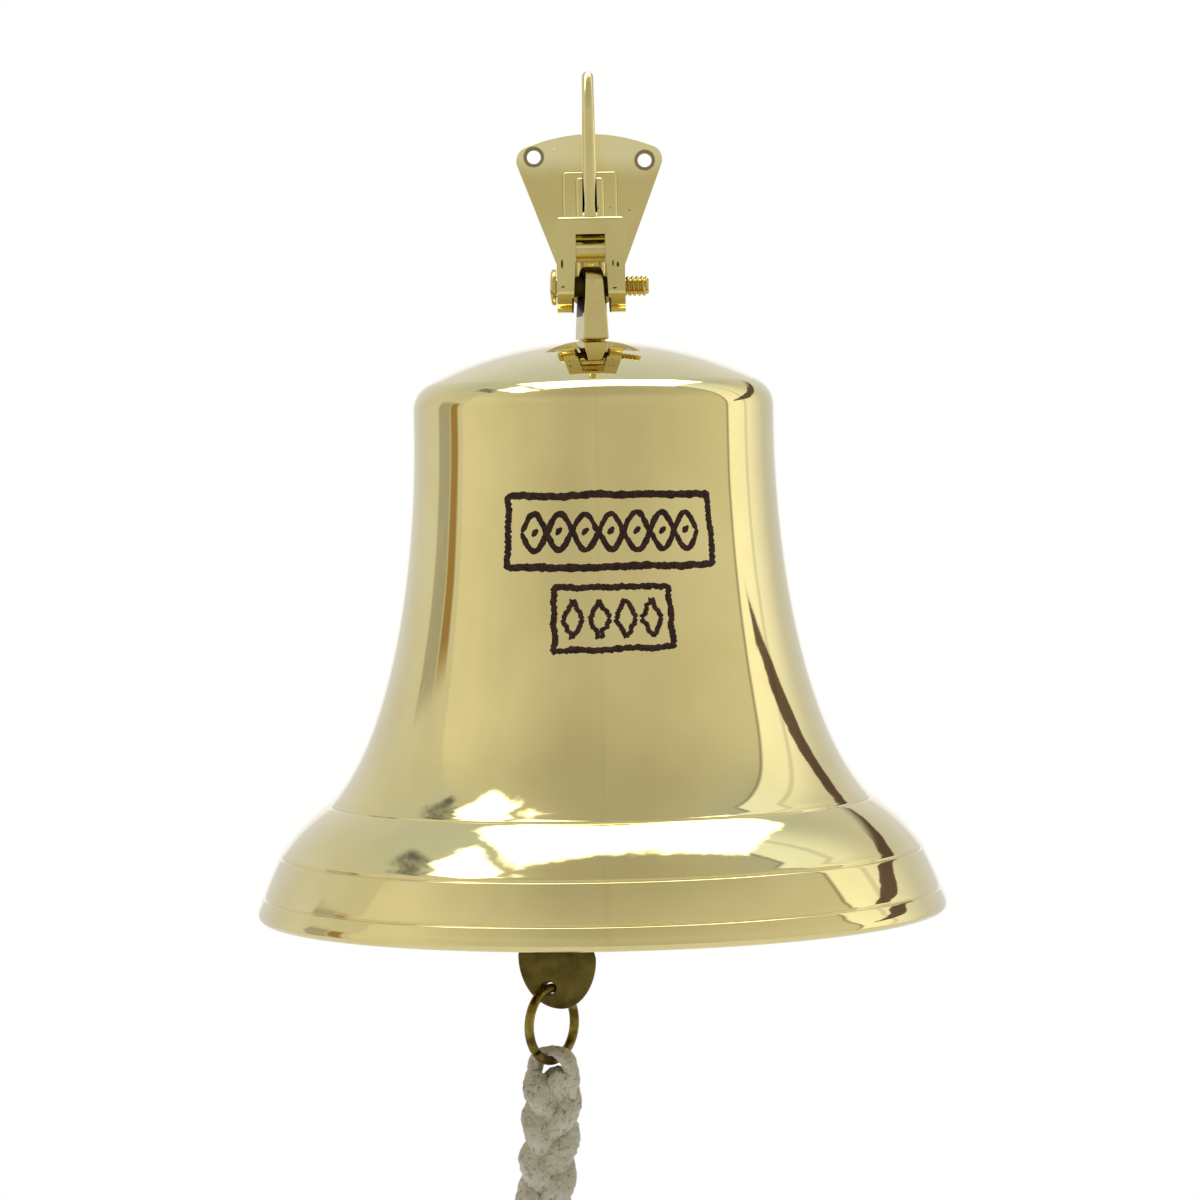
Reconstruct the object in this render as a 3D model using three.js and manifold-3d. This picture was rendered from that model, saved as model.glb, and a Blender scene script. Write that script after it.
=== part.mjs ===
import * as THREE from 'three';
import { mergeVertices } from 'three/addons/utils/BufferGeometryUtils.js';
import Module from 'manifold-3d';

// A polished brass ship bell on a wall bracket, with its clapper, pull ring and plaited
// lanyard. Millimetres, +Z up. The wall is the plane y = 0 and the object stands out from it
// along -Y. The origin is the centre of the back plate's rear face.

const wasm = await Module();
wasm.setup();

// ---- Driving dimensions -------------------------------------------------------------

const gap = 0.3;              // left between pieces that touch
const over = 1;               // how far a cutter runs past the face it cuts
const reach = 120;            // from the wall to the bell's axis
const pivotDrop = 25.4;       // from the plate's centre down to the pivot bolt's axis

const plate = {
  width: 46.9, top: 28, bottom: 28, thickness: 3.5, shoulderTop: 24.2,
  cornerRadius: 4.6, tipRadius: 8.2, holeOffset: 17.8, leftHoleRise: 20.9, rightHoleRise: 19.3,
  holeRadius: 2.25, seatWidth: 1.15, seatDepth: 0.4,
};

const foot = { width: 17.8, top: 15.9, bottom: 20, step: 3, innerWidth: 9.2, innerInset: 2.1 };

const blade = {
  thickness: 4.4, tipThickness: 3.4, rootTop: 12.6, rootBottom: 16.5,
  waistTop: 3.5, waistBottom: 7, hornTip: 38.3, hornTipRadius: 3.3, hornCurl: 8, hornDepth: 18,
};

const armScrew = { shank: 1.9, head: 3.7, length: 10.5, rise: 9 };

const fork = {
  width: 20, depth: 15.2, top: 20.3, earRadius: 7.6, slotTop: 15.1, slotTopWidth: 8.2,
  slotBottomWidth: 10.6, webBottom: 7.5, webThickness: 4.2, edge: 1.4,
};

const bolt = {
  radius: 3, headRadius: 5.3, headHeight: 1.9, slotWidth: 1.2, slotDepth: 1,
  threadOut: 6.9, pitch: 1.38, threadDepth: 0.5,
};

const stem = {
  eyeRadius: 5.9, topWidth: 5.4, footWidth: 7.8, footDepth: 12.6, drop: 15.9,
  holeSlack: 1.05, studRadius: 3.9, twist: 12,
};

const bell = {
  height: 168.3, mouth: 101.6, domeRadius: 105, shoulderRadius: 9, waist: 53.2, shoulderRun: 7.5,
  flareIn: 17.5, flareUp: 18, crownWall: 5, waistWall: 3.6, bowWall: 6.4, lipWall: 4.6,
  holeClearance: 0.5, lipRound: 1.9, bulge: 1, segments: 48,
};

// Turned grooves: how high above the mouth and how far in from its edge.
const grooves = [{ rise: 33.5, inset: 21.7 }, { rise: 18.7, inset: 6.9 }, { rise: 7, inset: 1.8 }];
const groove = { depth: 0.5, width: 1 };

const washer = { radius: 11, thickness: 1.6 };
const nut = { acrossFlats: 13, height: 6.5 };

// The clapper hangs on a swivel eye that turns on the end of the stud.
const swivel = { collarRadius: 6, collarHeight: 5, neckRadius: 3.2, wire: 1.75, meanRadius: 5.75, length: 19.9 };

const clapper = {
  lean: 5, eyeThickness: 4.4, eyeHole: 3.6, eyeWall: 3, neck: 3.4, shank: 5,
  ballRadius: 16, ballRise: 8, ballStretch: 1.12,
  tailWidth: 23, tailThickness: 2.4, tailBelowRim: 29.2, tailRound: 12.7, tailSkew: 1.9,
  ringPlay: 2, ringRise: 5.9, tailHoleOffset: -2.3,
};

const pullRing = { wire: 1.4, meanRadius: 10.7, turn: 38 };

const lanyard = {
  width: 17.7, thickness: 11, eyeWidth: 14.8, eyeThickness: 6.4, eyeBand: 2.1, eyeHoleWidth: 5.2,
  eyeHoleDrop: 7.8, eyeDrop: 13, knotRadius: 12, knotHeight: 22, tasselRadius: 10, tasselLength: 25,
};

// ---- Materials ------------------------------------------------------------------------

function finish(colour, roughness, metalness) {
  return new THREE.MeshStandardMaterial({ color: colour, roughness, metalness });
}

const castBrass = finish(0xcbb56e, 0.16, 1);
const bellBrass = finish(0xd2c184, 0.08, 1);
const screwBrass = finish(0xc2992f, 0.26, 1);
const steel = finish(0x9a9a96, 0.4, 1);
const bronze = finish(0x5a4c1f, 0.48, 1);
const ringBrass = finish(0x806a2a, 0.32, 1);
const cotton = finish(0xb0a992, 0.95, 0);

// ---- Shaping tools --------------------------------------------------------------------

const sideways = new THREE.Matrix4().makeBasis(       // outline in (y, z), drawn out along X
  new THREE.Vector3(0, 1, 0), new THREE.Vector3(0, 0, 1), new THREE.Vector3(1, 0, 0));
const frontal = new THREE.Matrix4().makeBasis(        // outline in (x, z), drawn out along -Y
  new THREE.Vector3(1, 0, 0), new THREE.Vector3(0, 0, 1), new THREE.Vector3(0, -1, 0));

// Bare positions, shared corners joined, no collapsed triangles.
function welded(geometry) {
  const bare = new THREE.BufferGeometry();
  bare.setAttribute('position', geometry.getAttribute('position').clone());
  if (geometry.index) bare.setIndex(geometry.index.clone());
  const joined = mergeVertices(bare, 1e-4);
  const corners = Array.from(joined.index.array);
  const kept = [];
  for (let i = 0; i < corners.length; i += 3) {
    const [a, b, c] = corners.slice(i, i + 3);
    if (a !== b && b !== c && c !== a) kept.push(a, b, c);
  }
  joined.setIndex(kept);
  return joined;
}

function toSolid(geometry) {
  const mesh = welded(geometry);
  return new wasm.Manifold(new wasm.Mesh({
    numProp: 3,
    vertProperties: Float32Array.from(mesh.getAttribute('position').array),
    triVerts: Uint32Array.from(mesh.index.array),
  }));
}

function toGeometry(solid) {
  const mesh = solid.getMesh();
  const geometry = new THREE.BufferGeometry();
  geometry.setAttribute('position', new THREE.BufferAttribute(mesh.vertProperties, mesh.numProp));
  geometry.setIndex(new THREE.BufferAttribute(mesh.triVerts, 1));
  return geometry;
}

function joined(...geometries) {
  return toGeometry(geometries.map(toSolid).reduce((sum, next) => sum.add(next)));
}

function cut(geometry, ...cutters) {
  return toGeometry(cutters.map(toSolid).reduce((rest, next) => rest.subtract(next), toSolid(geometry)));
}

function common(first, second) {
  return toGeometry(toSolid(first).intersect(toSolid(second)));
}

function extruded(outline, depth, basis, curveSegments = 10) {
  const geometry = new THREE.ExtrudeGeometry(outline, { depth, curveSegments, bevelEnabled: false });
  geometry.translate(0, 0, -depth / 2);
  return geometry.applyMatrix4(basis);
}

// Turned about Z. The profile, in (radius, z), runs so that the solid is on its left.
function turned(profile, segments) {
  const points = profile.map(([radius, rise]) => new THREE.Vector2(radius, rise));
  return new THREE.LatheGeometry(points, segments).rotateX(Math.PI / 2);
}

function rod(radius, from, to, axis = 'z', segments = 24) {
  const geometry = new THREE.CylinderGeometry(radius, radius, to - from, segments);
  geometry.translate(0, (from + to) / 2, 0);
  if (axis === 'z') geometry.rotateX(Math.PI / 2);
  if (axis === 'x') geometry.rotateZ(-Math.PI / 2);
  return geometry;
}

function block(width, depth, low, high, y = 0) {
  return new THREE.BoxGeometry(width, depth, high - low).translate(0, y, (low + high) / 2);
}

function part(name, geometry, material) {
  const mesh = new THREE.Mesh(geometry, material);
  mesh.name = name;
  return mesh;
}

function group(x, y, z, ...children) {
  const assembly = new THREE.Group();
  assembly.position.set(x, y, z);
  assembly.add(...children);
  return assembly;
}

// How far a ring's wire rises above its lowest point at a distance along its tangent.
function wireRise(meanRadius, distance) {
  return meanRadius - Math.sqrt(meanRadius ** 2 - distance ** 2);
}

// ---- Bracket --------------------------------------------------------------------------

function plateOutline() {
  const cornerX = plate.width / 2 - plate.cornerRadius;
  const cornerZ = plate.shoulderTop - plate.cornerRadius;
  const tipZ = -plate.bottom + plate.tipRadius;
  const run = Math.hypot(cornerX, cornerZ - tipZ);
  const slope = Math.atan2(cornerZ - tipZ, cornerX);
  const side = slope - Math.acos((plate.tipRadius - plate.cornerRadius) / run);
  const outline = new THREE.Shape();
  outline.absarc(0, tipZ, plate.tipRadius, Math.PI - side, 2 * Math.PI + side, false);
  outline.absarc(cornerX, cornerZ, plate.cornerRadius, side, Math.PI * 0.42, false);
  outline.quadraticCurveTo(0, 2 * plate.top - plate.shoulderTop - 0.3, -cornerX - 1.1, plate.shoulderTop - 0.15);
  outline.absarc(-cornerX, cornerZ, plate.cornerRadius, Math.PI * 0.58, Math.PI - side, false);
  return outline;
}

// A through hole with a shallow flat seat for the screw's head.
function screwHole(x, z) {
  const hole = rod(plate.holeRadius, -plate.thickness - over, over, 'y');
  const seat = rod(plate.holeRadius + plate.seatWidth, -plate.thickness - over, -plate.thickness + plate.seatDepth, 'y');
  return joined(hole, seat).translate(x, 0, z);
}

function armScrewShape(grown) {
  const profile = [
    [0, 0], [armScrew.head + grown, 0], [armScrew.head + grown, 0.3 + grown],
    [armScrew.shank + grown, armScrew.head - armScrew.shank + 0.3 + grown],
    [armScrew.shank + grown, armScrew.length + grown], [0, armScrew.length + grown],
  ];
  return turned(profile, 16).rotateX(Math.PI / 2);
}

function backPlate() {
  const blank = extruded(plateOutline(), plate.thickness, frontal).translate(0, -plate.thickness / 2, 0);
  const cutters = [
    screwHole(-plate.holeOffset, plate.leftHoleRise),
    screwHole(plate.holeOffset, plate.rightHoleRise),
    armScrewShape(gap).translate(0, over * 0.01, armScrew.rise),
    armScrewShape(gap).translate(0, over * 0.01, -armScrew.rise),
  ];
  return cut(blank, ...cutters);
}

// Side view of the arm: a waisted blade from the foot to the fork, with a horn above the fork
// that curls back towards the wall. Distances out from the wall are negative y.
function armOutline() {
  const root = -(plate.thickness + gap + 2 * foot.step - over);
  const back = -reach + fork.depth / 2 + gap;
  const web = -pivotDrop + fork.webBottom;
  const seat = -pivotDrop + fork.top + gap;
  const front = -reach + gap;
  const { rootTop, rootBottom, waistTop, waistBottom, hornTip, hornTipRadius: tip, hornCurl, hornDepth } = blade;
  const out = (share) => THREE.MathUtils.lerp(root, back, share);
  const up = (share) => THREE.MathUtils.lerp(seat, hornTip, share);
  const [start, end] = [0.62 * Math.PI, -0.3 * Math.PI];
  const outline = new THREE.Shape();
  outline.moveTo(root, -rootBottom);
  outline.bezierCurveTo(out(0.2), -rootBottom + 1, out(0.32), -waistBottom, out(0.52), -waistBottom);
  outline.bezierCurveTo(out(0.71), -waistBottom, out(0.84), web, back, web);
  outline.lineTo(back, seat);
  outline.lineTo(front - 1, seat);
  outline.bezierCurveTo(front + 1, up(0.19), front + 0.8, up(0.42), front - 0.3, up(0.58));
  outline.bezierCurveTo(front - 1, up(0.72), front + hornCurl - 6, up(0.86),
    front + hornCurl + tip * Math.cos(start), hornTip - tip + tip * Math.sin(start));
  outline.absarc(front + hornCurl, hornTip - tip, tip, start, end, true);
  outline.bezierCurveTo(front + hornCurl, up(0.7), front + hornCurl + 2.6, up(0.42), front + hornDepth, up(0.27));
  outline.bezierCurveTo(front + hornDepth + 12, up(0.12), out(0.61), waistTop, out(0.5), waistTop);
  outline.bezierCurveTo(out(0.32), waistTop, out(0.17), rootTop - 4, root, rootTop);
  outline.closePath();
  return outline;
}

function scrollArm() {
  const first = plate.thickness + gap;
  const outer = block(foot.width, foot.step, -foot.bottom, foot.top, -first - foot.step / 2);
  const inner = block(foot.innerWidth, foot.step + over, -foot.bottom + foot.innerInset,
    foot.top - foot.innerInset, -first - 1.5 * foot.step + over / 2);
  const web = extruded(armOutline(), blade.thickness, sideways, 8);
  const corner = web.getAttribute('position');
  for (let i = 0; i < corner.count; i += 1) {           // the horn thins towards its tip
    const climb = THREE.MathUtils.clamp(corner.getZ(i) / blade.hornTip, 0, 1);
    corner.setX(i, corner.getX(i) * (1 - climb * (1 - blade.tipThickness / blade.thickness)));
  }
  const holes = [1, -1].map((side) => armScrewShape(gap).translate(0, -gap, side * armScrew.rise));
  return cut(joined(outer, inner, web), ...holes);
}

// Front view of the slot between the fork's ears, which widens downwards.
function slotCutter(low, high, front, back) {
  const slope = (fork.slotBottomWidth - fork.slotTopWidth) / 2 / (fork.slotTop + fork.earRadius);
  const half = (rise) => fork.slotTopWidth / 2 + slope * (fork.slotTop - rise);
  const outline = new THREE.Shape();
  outline.moveTo(-half(low), low);
  outline.lineTo(half(low), low);
  outline.lineTo(half(high), high);
  outline.lineTo(-half(high), high);
  outline.closePath();
  return extruded(outline, back - front, frontal).translate(0, (front + back) / 2, 0);
}

function bellFork() {
  const half = fork.depth / 2;
  const side = new THREE.Shape();
  side.absarc(0, 0, fork.earRadius, Math.PI, 2 * Math.PI, false);
  side.lineTo(half, fork.top);
  side.lineTo(-half + fork.edge, fork.top);
  side.absarc(-half + fork.edge, fork.top - fork.edge, fork.edge, Math.PI / 2, Math.PI, false);
  side.closePath();
  const blank = extruded(side, fork.width, sideways, 12);
  const through = slotCutter(-fork.earRadius - over, fork.webBottom, -half - over, half + over);
  const blind = slotCutter(fork.webBottom - over, fork.slotTop, -half - over, half - fork.webThickness);
  const hole = rod(bolt.radius + gap, -fork.width / 2 - over, fork.width / 2 + over, 'x');
  return cut(blank, through, blind, hole);
}

// Slotted pan head on the left; the thread shows beyond the right ear.
function pivotBolt() {
  const seat = -fork.width / 2 - gap;
  const tip = fork.width / 2 + bolt.threadOut;
  const profile = [
    [0, seat - bolt.headHeight], [bolt.headRadius * 0.72, seat - bolt.headHeight],
    [bolt.headRadius, seat - bolt.headHeight * 0.45], [bolt.headRadius, seat], [bolt.radius, seat],
  ];
  const root = bolt.radius - bolt.threadDepth;
  for (let x = fork.width / 2 + gap; x < tip - bolt.pitch; x += bolt.pitch) {
    profile.push([bolt.radius, x], [root, x + bolt.pitch / 2]);
  }
  profile.push([bolt.radius, tip - bolt.pitch / 2], [root, tip], [0, tip]);
  const body = turned(profile, 20).rotateY(Math.PI / 2);
  const slot = new THREE.BoxGeometry(2 * bolt.slotDepth, bolt.slotWidth, 3 * bolt.headRadius);
  slot.rotateX(0.35).translate(seat - bolt.headHeight, 0, 0);
  return cut(body, slot);
}

// ---- Bell -----------------------------------------------------------------------------

const crownBore = stem.studRadius + bell.holeClearance;
const domeCentre = bell.height - bell.domeRadius;
const shoulderX = bell.waist - bell.shoulderRadius;
const domeInside = bell.domeRadius - bell.shoulderRadius;
const shoulderTurn = Math.asin(shoulderX / domeInside);
const shoulderZ = domeCentre + domeInside * Math.cos(shoulderTurn);
const waistTop = shoulderZ - bell.shoulderRun;
const [highGroove, middleGroove, lowGroove] = grooves.map(({ rise, inset }) => ({ rise, radius: bell.mouth - inset }));

// A shallow V turned into the outside, centred on its rise.
function groovePoints({ rise, radius }, slope) {
  const half = groove.width / 2;
  return [[radius - half * slope, rise + half], [radius - groove.depth, rise], [radius + half * slope, rise - half]];
}

// Outside of the bell from the crown's hole down to the lip, in (radius, rise above the mouth).
function outerProfile() {
  const points = [];
  for (let step = 0; step <= 5; step += 1) {
    const angle = THREE.MathUtils.lerp(Math.asin(crownBore / bell.domeRadius), shoulderTurn, step / 5);
    points.push([bell.domeRadius * Math.sin(angle), domeCentre + bell.domeRadius * Math.cos(angle)]);
  }
  for (let step = 1; step <= 5; step += 1) {
    const angle = THREE.MathUtils.lerp(shoulderTurn, Math.PI / 2, step / 5);
    points.push([shoulderX + bell.shoulderRadius * Math.sin(angle), shoulderZ + bell.shoulderRadius * Math.cos(angle)]);
  }
  const waist = new THREE.CubicBezierCurve(
    new THREE.Vector2(bell.waist, waistTop),
    new THREE.Vector2(bell.waist + 0.4, THREE.MathUtils.lerp(waistTop, highGroove.rise, 0.41)),
    new THREE.Vector2(highGroove.radius - bell.flareIn, highGroove.rise + bell.flareUp),
    new THREE.Vector2(highGroove.radius, highGroove.rise));
  for (let step = 0; step < 9; step += 1) {
    const { x, y } = waist.getPoint(step / 9);
    points.push([x, y]);
  }
  points.push(...groovePoints(highGroove, 1));
  for (const share of [0.3, 0.55, 0.8]) {
    const bulge = bell.bulge * 2.8 * share * (1 - share);
    points.push([THREE.MathUtils.lerp(highGroove.radius, middleGroove.radius, share) + bulge,
      THREE.MathUtils.lerp(highGroove.rise, middleGroove.rise, share) + bulge]);
  }
  points.push(...groovePoints(middleGroove, 0.6), ...groovePoints(lowGroove, 0.4));
  points.push([bell.mouth, bell.lipRound], [bell.mouth - 0.5, 0.5], [bell.mouth - 1.6, 0]);
  return points;
}

function wallAt(rise) {
  const { lerp, smoothstep } = THREE.MathUtils;
  const middle = middleGroove.rise;
  if (rise < middle) return lerp(bell.lipWall, bell.bowWall, smoothstep(rise, 0, middle));
  if (rise < waistTop) return lerp(bell.bowWall, bell.waistWall, smoothstep(rise, middle, lerp(middle, waistTop, 0.42)));
  return lerp(bell.waistWall, bell.crownWall, smoothstep(rise, waistTop, bell.height));
}

// Inside of the bell, up from the lip: every second point of the outside, moved in by the wall
// along its normal.
function innerProfile(outer) {
  const smooth = outer.slice(0, -3)
    .filter(([, rise]) => !grooves.some((line) => line.rise === rise))
    .filter((_, i) => i % 2 === 0);
  const points = [];
  for (let i = smooth.length - 2; i > 0; i -= 1) {
    const [radius, rise] = smooth[i];
    const dx = smooth[i + 1][0] - smooth[i - 1][0];
    const dz = smooth[i + 1][1] - smooth[i - 1][1];
    const length = Math.hypot(dx, dz);
    points.push([radius + dz / length * wallAt(rise), rise - dx / length * wallAt(rise)]);
  }
  return points;
}

function bellShell() {
  const ceiling = bell.height - bell.crownWall;
  const boss = washer.radius + 1;
  const outer = outerProfile();
  const inner = innerProfile(outer).filter(([radius]) => radius > boss + 0.5);
  const profile = [
    [crownBore, ceiling], ...outer, [bell.mouth - bell.lipWall, 0], ...inner, [boss, ceiling], [crownBore, ceiling],
  ];
  return turned(profile.reverse(), bell.segments);
}

// Front view a slim wedge, side view an eye that deepens towards the foot; a stud goes on
// through the crown.
function hangerStem() {
  const sole = -stem.drop + gap;
  const front = new THREE.Shape();
  front.moveTo(-stem.footWidth / 2, sole);
  front.lineTo(stem.footWidth / 2, sole);
  front.lineTo(stem.topWidth / 2, stem.eyeRadius + over);
  front.lineTo(-stem.topWidth / 2, stem.eyeRadius + over);
  front.closePath();
  const side = new THREE.Shape();
  side.absarc(0, 0, stem.eyeRadius, 0, Math.PI, false);
  side.lineTo(-stem.footDepth / 2, sole);
  side.lineTo(stem.footDepth / 2, sole);
  side.closePath();
  const bar = common(extruded(front, 3 * stem.footDepth, frontal), extruded(side, 3 * stem.footWidth, sideways, 12));
  const stud = rod(stem.studRadius, studEnd, sole + over, 'z', 20);
  return cut(joined(bar, stud), rod(bolt.radius + stem.holeSlack, -stem.footWidth, stem.footWidth, 'x'));
}

// Rises of the hanging gear inside the bell, measured down from the pivot bolt.
const crownInside = -stem.drop - bell.crownWall;
const washerTop = crownInside - gap;
const nutTop = washerTop - washer.thickness - gap;
const collarTop = nutTop - nut.height - gap;
const collarBottom = collarTop - swivel.collarHeight;
const studEnd = collarBottom + 1.5;
const clapperPivot = collarBottom - swivel.length;
const swivelCentre = clapperPivot + swivel.meanRadius;
const mouthLevel = -stem.drop - bell.height;

function crownWasher() {
  const bore = stem.studRadius + gap;
  const low = washerTop - washer.thickness;
  return turned([[bore, low], [washer.radius, low], [washer.radius, washerTop], [bore, washerTop], [bore, low]], 28);
}

function crownNut() {
  const outline = new THREE.Shape();
  const corner = nut.acrossFlats / Math.sqrt(3);
  for (let side = 0; side < 6; side += 1) {
    const angle = side * Math.PI / 3;
    const move = side === 0 ? 'moveTo' : 'lineTo';
    outline[move](corner * Math.cos(angle), corner * Math.sin(angle));
  }
  outline.closePath();
  outline.holes.push(new THREE.Path().absarc(0, 0, stem.studRadius + gap, 0, 2 * Math.PI, true));
  const geometry = new THREE.ExtrudeGeometry(outline, { depth: nut.height, curveSegments: 20, bevelEnabled: false });
  return geometry.translate(0, 0, nutTop - nut.height);
}

function clapperSwivel() {
  const collar = rod(swivel.collarRadius, collarBottom, collarTop, 'z', 20);
  const neck = rod(swivel.neckRadius, swivelCentre + swivel.meanRadius, collarBottom + over, 'z', 16);
  const eye = new THREE.TorusGeometry(swivel.meanRadius, swivel.wire, 10, 28);
  eye.rotateY(Math.PI / 2).translate(0, 0, swivelCentre);
  const bore = rod(stem.studRadius + gap, studEnd - gap, collarTop + over, 'z', 20);
  return cut(joined(collar, neck, eye), bore);
}

// ---- Clapper, measured down from the wire that it hangs on ---------------------------------

const tailTip = mouthLevel - clapper.tailBelowRim - clapperPivot;
const ballCentre = mouthLevel + clapper.ballRise - clapperPivot;
const ringTopWire = tailTip + clapper.ringRise;

function tailOutline() {
  const half = clapper.tailWidth / 2;
  const roundTop = tailTip + clapper.tailRound;
  const shift = -clapper.tailSkew * 0.65;
  const outline = new THREE.Shape();
  outline.moveTo(-half * 0.5, ballCentre - clapper.ballRadius * 0.6);
  outline.lineTo(-half + shift, roundTop + 3);
  outline.bezierCurveTo(-half + shift * 0.7, roundTop - 5, -half * 0.62, tailTip, clapper.tailSkew * 0.35, tailTip);
  outline.bezierCurveTo(half * 0.64, tailTip, half + shift * 0.2, roundTop - 4, half + shift, roundTop + 3);
  outline.lineTo(half * 0.5, ballCentre - clapper.ballRadius * 0.6);
  outline.closePath();
  return outline;
}

function clapperShape() {
  const eyeTop = swivel.wire + wireRise(swivel.meanRadius, clapper.eyeThickness / 2) + gap;
  const eyeDrop = eyeTop - clapper.eyeHole;
  const eyeOuter = clapper.eyeHole + clapper.eyeWall;
  const eye = rod(eyeOuter, -clapper.eyeThickness / 2, clapper.eyeThickness / 2, 'y', 28).translate(0, 0, eyeDrop);
  const neckTop = eyeDrop - clapper.eyeHole - 0.8;
  const profile = [[0, neckTop], [clapper.neck * 0.6, neckTop], [clapper.neck, neckTop - 6]];
  for (let step = 0; step <= 9; step += 1) {
    const angle = THREE.MathUtils.lerp(0.42, Math.PI - 0.33, step / 9);
    profile.push([clapper.ballRadius * Math.sin(angle),
      ballCentre + clapper.ballRadius * clapper.ballStretch * Math.cos(angle)]);
  }
  profile.splice(3, 0, [clapper.shank, ballCentre + clapper.ballRadius * clapper.ballStretch + 9]);
  profile.push([clapper.ballRadius * 0.3, ballCentre - clapper.ballRadius], [0, ballCentre - clapper.ballRadius]);
  const body = turned(profile.reverse(), 24);
  const tail = extruded(tailOutline(), clapper.tailThickness, frontal, 12);
  const tailHole = rod(pullRing.wire + clapper.ringPlay, -over - clapper.tailThickness, over + clapper.tailThickness, 'y')
    .translate(clapper.tailHoleOffset, 0, ringTopWire + clapper.ringPlay - 0.8);
  const eyeBore = rod(clapper.eyeHole, -over - clapper.eyeThickness, over + clapper.eyeThickness, 'y')
    .translate(0, 0, eyeDrop);
  return cut(joined(eye, body, tail), eyeBore, tailHole);
}

// ---- Pull ring and lanyard -----------------------------------------------------------------

function ringShape() {
  const ring = new THREE.TorusGeometry(pullRing.meanRadius, pullRing.wire, 10, 36);
  return ring.rotateY(Math.PI / 2).translate(0, 0, -pullRing.meanRadius);
}

// The plait doubled over the ring, measured down from the ring's lowest wire.
function lanyardEye() {
  const holeTop = pullRing.wire + wireRise(pullRing.meanRadius, lanyard.eyeThickness / 2) + gap;
  const top = holeTop + lanyard.eyeBand;
  const half = lanyard.eyeWidth / 2;
  const holeHalf = lanyard.eyeHoleWidth / 2;
  const holeLow = holeTop - lanyard.eyeHoleDrop;
  const outline = new THREE.Shape();
  outline.moveTo(-half - 1, top - lanyard.eyeDrop);
  outline.lineTo(half + 1, top - lanyard.eyeDrop);
  outline.lineTo(half, top - lanyard.eyeThickness);
  outline.bezierCurveTo(half - 0.5, top - 3, half * 0.55, top, 0, top);
  outline.bezierCurveTo(-half * 0.55, top, -half + 0.5, top - 3, -half, top - lanyard.eyeThickness);
  outline.closePath();
  const hole = new THREE.Path();
  hole.moveTo(-holeHalf, holeLow);
  hole.bezierCurveTo(-holeHalf, holeLow + 4, -holeHalf * 0.8, holeTop, 0, holeTop);
  hole.bezierCurveTo(holeHalf * 0.8, holeTop, holeHalf, holeLow + 4, holeHalf, holeLow);
  hole.closePath();
  outline.holes.push(hole);
  return { geometry: extruded(outline, lanyard.eyeThickness, frontal, 6), low: top - lanyard.eyeDrop };
}

// The hanging route of the plait, down from its eye. It keeps a little of the eye's slant.
const route = [
  [0, 0], [0, -2.5], [-0.6, -9], [-1.8, -20], [-3, -33], [-4, -48], [-4.7, -65], [-5, -83], [-5, -103], [-5, -123],
];

function lanyardBraid() {
  const path = new THREE.CatmullRomCurve3(route.map(([x, z]) => new THREE.Vector3(x, 0, z)));
  const section = new THREE.Shape();
  section.absellipse(0, 0, lanyard.thickness / 2, lanyard.width / 2, 0, 2 * Math.PI, false, 0);
  return new THREE.ExtrudeGeometry(section, { steps: 10, curveSegments: 6, extrudePath: path, bevelEnabled: false });
}

function lanyardKnot() {
  const profile = [];
  for (let step = 0; step <= 8; step += 1) {
    const angle = 0.35 + (Math.PI - 0.7) * step / 8;
    profile.push([lanyard.knotRadius * Math.sin(angle),
      lanyard.knotHeight / 2 * (Math.cos(angle) / Math.cos(0.35) - 1)]);
  }
  return turned([[0, 0], ...profile, [0, -lanyard.knotHeight]].reverse(), 20);
}

function lanyardTassel() {
  const { tasselRadius: radius, tasselLength: length } = lanyard;
  const profile = [[0, 0], [radius * 0.45, 0], [radius * 0.7, -length * 0.25], [radius * 0.92, -length * 0.6],
    [radius, -length], [0, -length]];
  return turned(profile.reverse(), 20);
}

// ---- Assembly --------------------------------------------------------------------------------

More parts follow.
